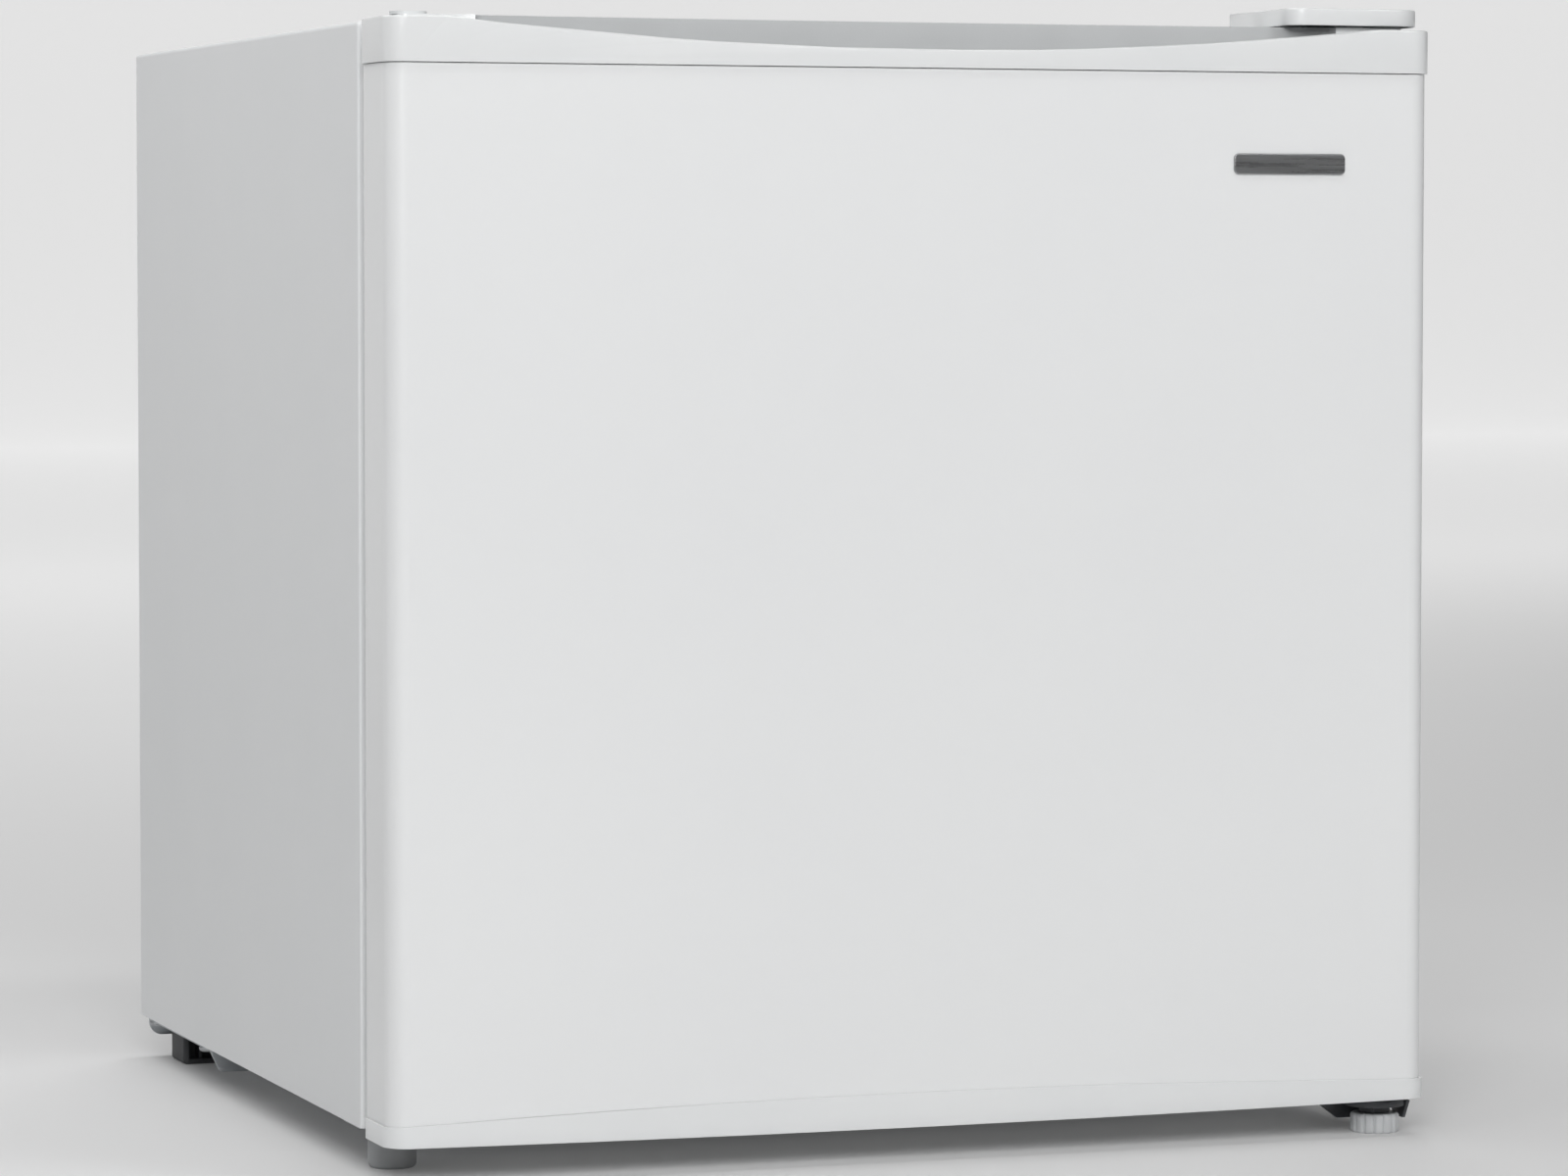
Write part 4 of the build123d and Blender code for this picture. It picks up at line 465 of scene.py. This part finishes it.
def makeShelf():
    low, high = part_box("wire_shelf")
    sizes = {
        "Width": "NodeSocketFloat", "Depth": "NodeSocketFloat", "Rim Wire": "NodeSocketFloat",
        "Wire": "NodeSocketFloat", "Wires": "NodeSocketInt", "Corner": "NodeSocketFloat",
        "Centre": "NodeSocketVector",
    }
    tree, given = startTree("wireShelfTree", sizes)
    rimWidth = mathOf(tree, "SUBTRACT", given["Width"], given["Rim Wire"])
    rimDepth = mathOf(tree, "SUBTRACT", given["Depth"], given["Rim Wire"])
    rim = addNode(tree, "GeometryNodeCurvePrimitiveQuadrilateral", {"Width": rimWidth, "Height": rimDepth})
    bent = addNode(
        tree, "GeometryNodeFilletCurve",
        {"Curve": rim.outputs[0], "Count": shelf["cornerPoints"], "Radius": given["Corner"]}, mode="POLY",
    )
    rimRadius = mathOf(tree, "MULTIPLY", given["Rim Wire"], 0.5)
    rimTube = sweep(tree, bent.outputs[0], circleOf(tree, rimRadius, shelf["rimRoundness"]))

    wireRadius = mathOf(tree, "MULTIPLY", given["Wire"], 0.5)
    span = mathOf(tree, "SUBTRACT", given["Width"], 2 * shelf["wireMargin"])
    gap = mathOf(tree, "DIVIDE", span, mathOf(tree, "SUBTRACT", given["Wires"], 1))
    firstX = mathOf(tree, "MULTIPLY", span, -0.5)
    row = addNode(
        tree, "GeometryNodeMeshLine",
        {"Count": given["Wires"], "Start Location": vectorOf(tree, firstX), "Offset": vectorOf(tree, gap)},
    )
    rod = addNode(
        tree, "GeometryNodeMeshCylinder",
        {"Vertices": shelf["roundness"], "Radius": wireRadius, "Depth": rimDepth},
    )
    rods = addNode(
        tree, "GeometryNodeInstanceOnPoints",
        {"Points": row.outputs[0], "Instance": rod.outputs[0], "Rotation": (math.pi / 2, 0.0, 0.0)},
    )
    bearerRow = addNode(
        tree, "GeometryNodeMeshLine",
        {
            "Count": shelf["bearers"], "Start Location": (0.0, shelf["bearerFront"], shelf["bearerDrop"]),
            "Offset": (0.0, shelf["bearerGap"], 0.0),
        },
    )
    bearerRadius = mathOf(tree, "ADD", wireRadius, shelf["bearerExtra"])
    bearer = addNode(
        tree, "GeometryNodeMeshCylinder",
        {"Vertices": shelf["roundness"], "Radius": bearerRadius, "Depth": rimWidth},
    )
    bearers = addNode(
        tree, "GeometryNodeInstanceOnPoints",
        {"Points": bearerRow.outputs[0], "Instance": bearer.outputs[0], "Rotation": (0.0, math.pi / 2, 0.0)},
    )
    joined = addNode(
        tree, "GeometryNodeJoinGeometry", {"Geometry": [rimTube, rods.outputs[0], bearers.outputs[0]]}
    )
    placed = placeGeometry(tree, joined.outputs[0], given["Centre"])
    endTree(tree, placed, materials[materialOfSlot[slotOfNode["wire_shelf"]]])
    values = {
        "Width": high.x - low.x, "Depth": high.y - low.y, "Rim Wire": shelf["rimWire"],
        "Wire": shelf["wire"], "Wires": shelf["wires"], "Corner": shelf["corner"],
        "Centre": ((low.x + high.x) / 2, (low.y + high.y) / 2, high.z - shelf["rimWire"] / 2),
    }
    growPiece("wireShelfWelded", tree, values, "wire_shelf")


# Gasket: a soft hollow frame whose section is a boxy magnet pocket pinched into bellows folds
gasket = {"section": 0.0155, "around": 48, "folds": 2.0, "foldDepth": 0.18, "boxiness": 0.45}


def makeGasket():
    low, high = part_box("door_gasket")
    sizes = {
        "Width": "NodeSocketFloat", "Height": "NodeSocketFloat", "Section": "NodeSocketFloat",
        "Thickness": "NodeSocketFloat", "Folds": "NodeSocketFloat", "Fold Depth": "NodeSocketFloat",
        "Centre": "NodeSocketVector",
    }
    tree, given = startTree("bellowsGasketTree", sizes)
    loop = addNode(
        tree, "GeometryNodeCurvePrimitiveQuadrilateral",
        {
            "Width": mathOf(tree, "SUBTRACT", given["Width"], given["Section"]),
            "Height": mathOf(tree, "SUBTRACT", given["Height"], given["Section"]),
        },
    )
    point = pointParts(tree)
    turn = mathOf(tree, "MULTIPLY", point["Y"], mathOf(tree, "MULTIPLY", given["Folds"], math.pi * 2))
    fold = mathOf(tree, "MULTIPLY", mathOf(tree, "COSINE", turn), given["Fold Depth"])
    squeeze = mathOf(tree, "SUBTRACT", mathOf(tree, "SUBTRACT", 1.0, given["Fold Depth"]), fold)
    side = mathOf(tree, "SIGN", point["X"])
    flat = mathOf(tree, "POWER", mathOf(tree, "ABSOLUTE", point["X"]), gasket["boxiness"])
    shape = mathOf(tree, "MULTIPLY", mathOf(tree, "MULTIPLY", side, flat), squeeze)
    across = mathOf(tree, "MULTIPLY", shape, mathOf(tree, "MULTIPLY", given["Section"], 0.5))
    along = mathOf(tree, "MULTIPLY", point["Y"], mathOf(tree, "MULTIPLY", given["Thickness"], 0.5))
    profile = reshape(tree, circleOf(tree, 1.0, gasket["around"]), across, along)
    swept = sweep(tree, loop.outputs[0], profile)
    placed = placeGeometry(tree, swept, given["Centre"], (math.pi / 2, 0.0, 0.0))
    endTree(tree, placed, materials[materialOfSlot[slotOfNode["door_gasket"]]])
    values = {
        "Width": high.x - low.x, "Height": high.z - low.z, "Section": gasket["section"],
        "Thickness": high.y - low.y, "Folds": gasket["folds"], "Fold Depth": gasket["foldDepth"],
        "Centre": tuple((low + high) / 2),
    }
    growPiece("doorGasketBellows", tree, values, "door_gasket")


# Foot wheel: a drum whose notches are cut by a wave round the rim, its edges rounded, in metres
footWheel = {
    "notches": 14, "notchDepth": 0.0011,
    "notchNarrowing": 5.0,  # higher leaves narrower notches between wider teeth
    "rounding": 0.0011, "roundingPull": 0.7,
    "rimOnly": 6.0,  # higher keeps the cut closer to the rim
    "around": 168, "rings": 16, "fillRings": 6,
}


def makeFootWheel():
    low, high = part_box("right_foot_wheel")
    sizes = {
        "Radius": "NodeSocketFloat", "Height": "NodeSocketFloat", "Notches": "NodeSocketFloat",
        "Notch Depth": "NodeSocketFloat", "Rounding": "NodeSocketFloat", "Centre": "NodeSocketVector",
    }
    tree, given = startTree("footWheelTree", sizes)
    drum = addNode(
        tree, "GeometryNodeMeshCylinder",
        {
            "Vertices": footWheel["around"], "Side Segments": footWheel["rings"],
            "Fill Segments": footWheel["fillRings"], "Radius": given["Radius"], "Depth": given["Height"],
        },
    )
    point = pointParts(tree)
    angle = mathOf(tree, "ARCTAN2", point["Y"], point["X"])
    squares = [mathOf(tree, "MULTIPLY", point[axis], point[axis]) for axis in ("X", "Y")]
    reach = mathOf(tree, "SQRT", mathOf(tree, "ADD", *squares))
    wave = mathOf(tree, "COSINE", mathOf(tree, "MULTIPLY", angle, given["Notches"]))
    dip = mathOf(tree, "MULTIPLY", mathOf(tree, "SUBTRACT", 1.0, wave), 0.5)
    trough = mathOf(tree, "POWER", dip, footWheel["notchNarrowing"])
    halfHeight = mathOf(tree, "MULTIPLY", given["Height"], 0.5)
    toEdge = mathOf(tree, "SUBTRACT", halfHeight, mathOf(tree, "ABSOLUTE", point["Z"]))
    near = mathOf(tree, "SUBTRACT", 1.0, mathOf(tree, "DIVIDE", toEdge, given["Rounding"]))
    soft = mathOf(tree, "MAXIMUM", near, 0.0)
    pulled = mathOf(tree, "MULTIPLY", given["Rounding"], footWheel["roundingPull"])
    drop = mathOf(tree, "MULTIPLY", mathOf(tree, "MULTIPLY", soft, soft), pulled)
    cut = mathOf(tree, "ADD", mathOf(tree, "MULTIPLY", trough, given["Notch Depth"]), drop)
    share = mathOf(tree, "MINIMUM", mathOf(tree, "DIVIDE", reach, given["Radius"]), 1.0)
    outer = mathOf(tree, "POWER", share, footWheel["rimOnly"])
    inward = mathOf(tree, "DIVIDE", mathOf(tree, "MULTIPLY", cut, outer), given["Radius"])
    scale = mathOf(tree, "SUBTRACT", 1.0, inward)
    x, y = [mathOf(tree, "MULTIPLY", point[axis], scale) for axis in ("X", "Y")]
    placed = placeGeometry(tree, reshape(tree, drum.outputs[0], x, y, point["Z"]), given["Centre"])
    endTree(tree, placed, materials[materialOfSlot[slotOfNode["right_foot_wheel"]]])
    values = {
        "Radius": (high.x - low.x) / 2, "Height": high.z - low.z, "Notches": float(footWheel["notches"]),
        "Notch Depth": footWheel["notchDepth"], "Rounding": footWheel["rounding"],
        "Centre": tuple((low + high) / 2),
    }
    growPiece("rightFootWheelKnurled", tree, values, "right_foot_wheel")


# Screws: pan heads with a cross recess, set out as rows and columns; "up" is +1 for a head on top
screwRows = {
    "upper_hinge_screws": dict(columns=3, rows=1, head=0.00475, headHeight=0.0026, shank=0.0025, up=1.0),
    "lower_hinge_screws": dict(columns=2, rows=1, head=0.0046, headHeight=0.0026, shank=0.0025, up=-1.0),
    "base_screws": dict(columns=2, rows=2, head=0.0042, headHeight=0.0020, shank=0.0022, up=-1.0),
}
# the recess: slot width in metres, reach and depth as shares of the head; the dome: its curve and fall
screwShape = {
    "slot": 0.0009, "reach": 0.82, "depth": 0.6, "dome": 4.0, "domeFall": 0.3, "overlap": 0.98,
    "headRoundness": 40, "headRings": 10, "headFill": 4, "shankRoundness": 24,
}


def makeScrewTree(material):
    sizes = {
        "Columns": "NodeSocketInt", "Rows": "NodeSocketInt", "Span X": "NodeSocketFloat",
        "Span Y": "NodeSocketFloat", "Head": "NodeSocketFloat", "Head Height": "NodeSocketFloat",
        "Shank": "NodeSocketFloat", "Length": "NodeSocketFloat", "Up": "NodeSocketFloat",
        "Centre": "NodeSocketVector",
    }
    tree, given = startTree("crossScrewTree", sizes)
    half = mathOf(tree, "MULTIPLY", given["Head Height"], 0.5)
    drum = addNode(
        tree, "GeometryNodeMeshCylinder",
        {
            "Vertices": screwShape["headRoundness"], "Side Segments": screwShape["headRings"],
            "Fill Segments": screwShape["headFill"], "Radius": given["Head"], "Depth": given["Head Height"],
        },
    )
    point = pointParts(tree)
    rise = mathOf(tree, "DIVIDE", mathOf(tree, "ADD", point["Z"], half), given["Head Height"])
    curve = mathOf(tree, "POWER", rise, screwShape["dome"])
    waist = mathOf(tree, "SUBTRACT", 1.0, mathOf(tree, "MULTIPLY", curve, screwShape["domeFall"]))
    x, y = [mathOf(tree, "MULTIPLY", point[axis], waist) for axis in ("X", "Y")]
    head = reshape(tree, drum.outputs[0], x, y, point["Z"])
    reach = mathOf(tree, "MULTIPLY", given["Head"], screwShape["reach"])
    depth = mathOf(tree, "MULTIPLY", given["Head Height"], screwShape["depth"] * 2)
    bars = []
    for across, along in ((reach, screwShape["slot"]), (screwShape["slot"], reach)):
        bar = addNode(tree, "GeometryNodeMeshCube", {"Size": vectorOf(tree, across, along, depth)})
        bars.append(placeGeometry(tree, bar.outputs[0], vectorOf(tree, z=half)))
    recessed = addNode(
        tree, "GeometryNodeMeshBoolean", {"Mesh 1": head, "Mesh 2": bars},
        operation="DIFFERENCE", solver="EXACT",
    )
    shank = addNode(
        tree, "GeometryNodeMeshCylinder",
        {"Vertices": screwShape["shankRoundness"], "Radius": given["Shank"], "Depth": given["Length"]},
    )
    halfLength = mathOf(tree, "MULTIPLY", given["Length"], -0.5)
    sink = mathOf(tree, "SUBTRACT", halfLength, mathOf(tree, "MULTIPLY", half, screwShape["overlap"]))
    under = placeGeometry(tree, shank.outputs[0], vectorOf(tree, z=sink))
    screw = addNode(tree, "GeometryNodeJoinGeometry", {"Geometry": [recessed.outputs[0], under]})
    grid = addNode(
        tree, "GeometryNodeMeshGrid",
        {
            "Size X": given["Span X"], "Size Y": given["Span Y"],
            "Vertices X": given["Columns"], "Vertices Y": given["Rows"],
        },
    )
    flip = mathOf(tree, "MULTIPLY", mathOf(tree, "SUBTRACT", 1.0, given["Up"]), math.pi / 2)
    spread = addNode(
        tree, "GeometryNodeInstanceOnPoints",
        {"Points": grid.outputs[0], "Instance": screw.outputs[0], "Rotation": vectorOf(tree, flip)},
    )
    endTree(tree, placeGeometry(tree, spread.outputs[0], given["Centre"]), material)
    return tree


def makeScrews():
    tree = makeScrewTree(materials[materialOfSlot["zinc_steel"]])
    for node, look in screwRows.items():
        low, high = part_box(node)
        middle = (low + high) / 2
        heads = high.z - look["headHeight"] / 2 if look["up"] > 0 else low.z + look["headHeight"] / 2
        values = {
            "Columns": look["columns"], "Rows": look["rows"],
            "Span X": high.x - low.x - 2 * look["head"],
            "Span Y": high.y - low.y - 2 * look["head"],
            "Head": look["head"], "Head Height": look["headHeight"], "Shank": look["shank"],
            "Length": high.z - low.z - look["headHeight"], "Up": look["up"],
            "Centre": (middle.x, middle.y, heads),
        }
        growPiece(node + "CrossHead", tree, values, node)


# Capillary: thin copper wound into a spring of close turns, sizes in metres
capillary = {"radius": 0.024, "wire": 0.001, "turns": 4, "stepsPerTurn": 48, "roundness": 12}


def makeCapillary():
    low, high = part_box("capillary_tube")
    sizes = {
        "Radius": "NodeSocketFloat", "Wire": "NodeSocketFloat", "Turns": "NodeSocketFloat",
        "Length": "NodeSocketFloat", "Start": "NodeSocketVector",
    }
    tree, given = startTree("capillaryCoilTree", sizes)
    spiral = addNode(
        tree, "GeometryNodeCurveSpiral",
        {
            "Resolution": capillary["stepsPerTurn"], "Rotations": given["Turns"],
            "Start Radius": given["Radius"], "End Radius": given["Radius"], "Height": given["Length"],
        },
    )
    wire = circleOf(tree, given["Wire"], capillary["roundness"])
    tube = sweep(tree, spiral.outputs[0], wire, **{"Fill Caps": True})
    placed = placeGeometry(tree, tube, given["Start"], (math.pi / 2, 0.0, 0.0))
    endTree(tree, placed, materials[materialOfSlot[slotOfNode["capillary_tube"]]])
    middle = (low + high) / 2
    values = {
        "Radius": capillary["radius"], "Wire": capillary["wire"], "Turns": float(capillary["turns"]),
        "Length": high.y - low.y - 2 * capillary["wire"],
        "Start": (middle.x, high.y - capillary["wire"], low.z + capillary["radius"] + capillary["wire"]),
    }
    growPiece("capillaryCoilWound", tree, values, "capillary_tube")


makeShelf()
makeGasket()
makeFootWheel()
makeScrews()
makeCapillary()
print("repeating pieces made")

# Degrees for the softened copies: what is merged flat, what is rounded, what stays sharp afterwards
softAngles = {"flat": 1.5, "rounded": 40, "sharp": 35}
mergeGap = 0.000002

# Edge rounding in metres on copies of the pressed and moulded bodies
softEdges = {
    "door_bottom_cap": 0.0012,
    "door_top_cap": 0.0006,
    "hinge_cover": 0.0006,
    "rear_feet": 0.0005,
    "terminal_cover": 0.0006,
    "lower_hinge": 0.0004,
    "base_plate": 0.0004,
}


def softenEdges(node, width):
    mesh = nodes[node].data.copy()
    mesh.name = node + "Softened"
    work = bmesh.new()
    work.from_mesh(mesh)
    bmesh.ops.remove_doubles(work, verts=work.verts, dist=mergeGap)
    flat = math.radians(softAngles["flat"])
    bmesh.ops.dissolve_limit(work, angle_limit=flat, verts=work.verts, edges=work.edges)
    work.to_mesh(mesh)
    work.free()
    piece = bpy.data.objects.new(node + "Softened", mesh)
    bpy.context.scene.collection.objects.link(piece)
    for face in mesh.polygons:
        face.use_smooth = True
    rounding = piece.modifiers.new("rounding", "BEVEL")
    rounding.width = width
    rounding.segments = 2
    rounding.limit_method = "ANGLE"
    rounding.angle_limit = math.radians(softAngles["rounded"])
    rounding.harden_normals = False
    bpy.context.view_layer.update()
    evaluated = piece.evaluated_get(bpy.context.evaluated_depsgraph_get())
    finished = bpy.data.meshes.new_from_object(evaluated)
    piece.modifiers.remove(rounding)
    piece.data = finished
    finished.name = node + "Softened"
    finished.set_sharp_from_angle(angle=math.radians(softAngles["sharp"]))
    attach(piece, bodyOfNode[node])
    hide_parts(node)
    return piece


# The walls of the finger pull, in metres from the frame's origin; faces inside get the grey finish that
# paints the recess's shade
pull = {"low": Vector((-0.1945, -0.2165, 0.4515)), "high": Vector((0.1945, -0.1985, 0.4835))}


# gives the faces of the finger pull the spark texture and the grey colour that stands for painted shade in
# the recess
def texturePullAndPaintShade(piece):
    piece.data.materials.append(materials["absPullTexturedPaintedShade"])
    for face in piece.data.polygons:
        if all(pull["low"][i] <= face.center[i] <= pull["high"][i] for i in range(3)):
            face.material_index = 1


softened = {node: softenEdges(node, width) for node, width in softEdges.items()}
texturePullAndPaintShade(softened["door_top_cap"])
print("edges softened:", len(softEdges))

studio = {
    "floorColour": "#DEDEDE",
    "floorGlow": 0.05,  # lifts the paper near the fridge
    "wallGlow": 0.56,  # backdrop lit by lamps of its own
    "glowStart": 0.8,
    "glowEnd": 5.0,
    "floorReach": 12.0,
    "wallStart": 10.0,
    "wallHeight": 6.0,
    "sweepRadius": 2.0,
    "sweepSteps": 24,
    "air": 0.08,  # even light from all round
}
softboxes = {
    "keyUpperLeft": dict(place=(-0.9, -2.5, 1.4), aim=(-0.05, -0.2, 0.45), size=(1.3, 0.9), power=32),
    "cornerStrip": dict(place=(-0.95, -2.3, 0.95), aim=(-0.2, -0.2, 0.48), size=(0.16, 0.9), power=2.0),
    "sideUpperLeft": dict(place=(-0.8, 0.05, 1.05), aim=(-0.25, 0.0, 0.6), size=(0.6, 0.5), power=1.9),
    "topStrip": dict(place=(-0.1, -0.75, 2.1), aim=(0.0, -0.2, 0.3), size=(2.0, 0.25), power=9),
    "topFill": dict(place=(0.0, 1.6, 2.6), aim=(0.0, 1.9, 0.3), size=(2.6, 1.4), power=40),
    "rightUpper": dict(place=(1.2, -1.7, 1.2), aim=(0.22, -0.2, 0.48), size=(0.6, 0.5), power=7),
}
viewpoint = {"place": (-0.8799, -2.5660, 0.3780), "yaw": 19.227, "pitch": -3.055, "roll": 0.02, "lens": 135.9}


def makeStage():
    mesh = bmesh.new()
    path = [(-studio["floorReach"], 0.0), (studio["wallStart"], 0.0)]
    radius = studio["sweepRadius"]
    for step in range(1, studio["sweepSteps"] + 1):
        angle = step / studio["sweepSteps"] * math.pi / 2
        path.append((studio["wallStart"] + radius * math.sin(angle), radius * (1 - math.cos(angle))))
    path.append((studio["wallStart"] + radius, studio["wallHeight"]))
    reach = studio["floorReach"]
    rows = [[mesh.verts.new((x, y, z)) for x in (-reach, reach)] for y, z in path]
    for near, far in zip(rows, rows[1:]):
        mesh.faces.new((near[0], near[1], far[1], far[0]))
    data = bpy.data.meshes.new("floorSweep")
    mesh.to_mesh(data)
    mesh.free()
    for face in data.polygons:
        face.use_smooth = True
    stage = bpy.data.objects.new("floorSweep", data)
    bpy.context.scene.collection.objects.link(stage)
    material, tree, shader, place = startMaterial("paperSweepMatte")
    fibre = addNode(tree, "ShaderNodeTexNoise", {"Vector": place, "Scale": perMm(4), "Detail": 3.0})
    bump = addNode(
        tree, "ShaderNodeBump", {"Height": fibre.outputs["Fac"], "Strength": 0.15, "Distance": 0.0001}
    )
    tree.links.new(bump.outputs[0], shader.inputs["Normal"])
    shader.inputs["Base Color"].default_value = linearColour(studio["floorColour"])
    shader.inputs["Roughness"].default_value = 0.9
    shader.inputs["Emission Color"].default_value = (1.0, 1.0, 1.0, 1.0)
    depth = addNode(tree, "ShaderNodeSeparateXYZ", {"Vector": place}).outputs["Y"]
    glow = addNode(
        tree, "ShaderNodeMapRange",
        {
            "Value": depth, "From Min": studio["glowStart"], "From Max": studio["glowEnd"],
            "To Min": studio["floorGlow"], "To Max": studio["wallGlow"],
        },
        interpolation_type="SMOOTHSTEP",
    )
    tree.links.new(glow.outputs[0], shader.inputs["Emission Strength"])
    data.materials.append(material)


def makeLights():
    for name, look in softboxes.items():
        lamp = bpy.data.lights.new(name, "AREA")
        lamp.shape = "RECTANGLE"
        lamp.size, lamp.size_y = look["size"]
        lamp.energy = look["power"]
        holder = bpy.data.objects.new(name, lamp)
        bpy.context.scene.collection.objects.link(holder)
        holder.location = look["place"]
        beam = Vector(look["aim"]) - Vector(look["place"])
        holder.rotation_euler = beam.to_track_quat("-Z", "Y").to_euler()
    world = bpy.data.worlds.new("softAir")
    world.use_nodes = True
    world.node_tree.nodes["Background"].inputs["Color"].default_value = (1, 1, 1, 1)
    world.node_tree.nodes["Background"].inputs["Strength"].default_value = studio["air"]
    bpy.context.scene.world = world
    bpy.context.scene.view_settings.view_transform = "Standard"


def makeCamera():
    yaw, pitch, roll = [math.radians(viewpoint[key]) for key in ("yaw", "pitch", "roll")]
    ahead = Vector((math.sin(yaw) * math.cos(pitch), math.cos(yaw) * math.cos(pitch), math.sin(pitch)))
    right = Vector((math.cos(yaw), -math.sin(yaw), 0.0))
    above = right.cross(ahead)
    across = right * math.cos(roll) + above * math.sin(roll)
    upward = above * math.cos(roll) - right * math.sin(roll)
    lens = bpy.data.cameras.new("frontLeftCamera")
    lens.lens = viewpoint["lens"]
    lens.sensor_width = 36.0
    lens.clip_start, lens.clip_end = 0.05, 60.0
    holder = bpy.data.objects.new("frontLeftCamera", lens)
    bpy.context.scene.collection.objects.link(holder)
    holder.matrix_world = Matrix.Translation(viewpoint["place"]) @ Matrix(
        (across, upward, -ahead)
    ).transposed().to_4x4()
    bpy.context.scene.camera = holder


makeStage()
makeLights()
makeCamera()
print("stage, lights and camera ready")
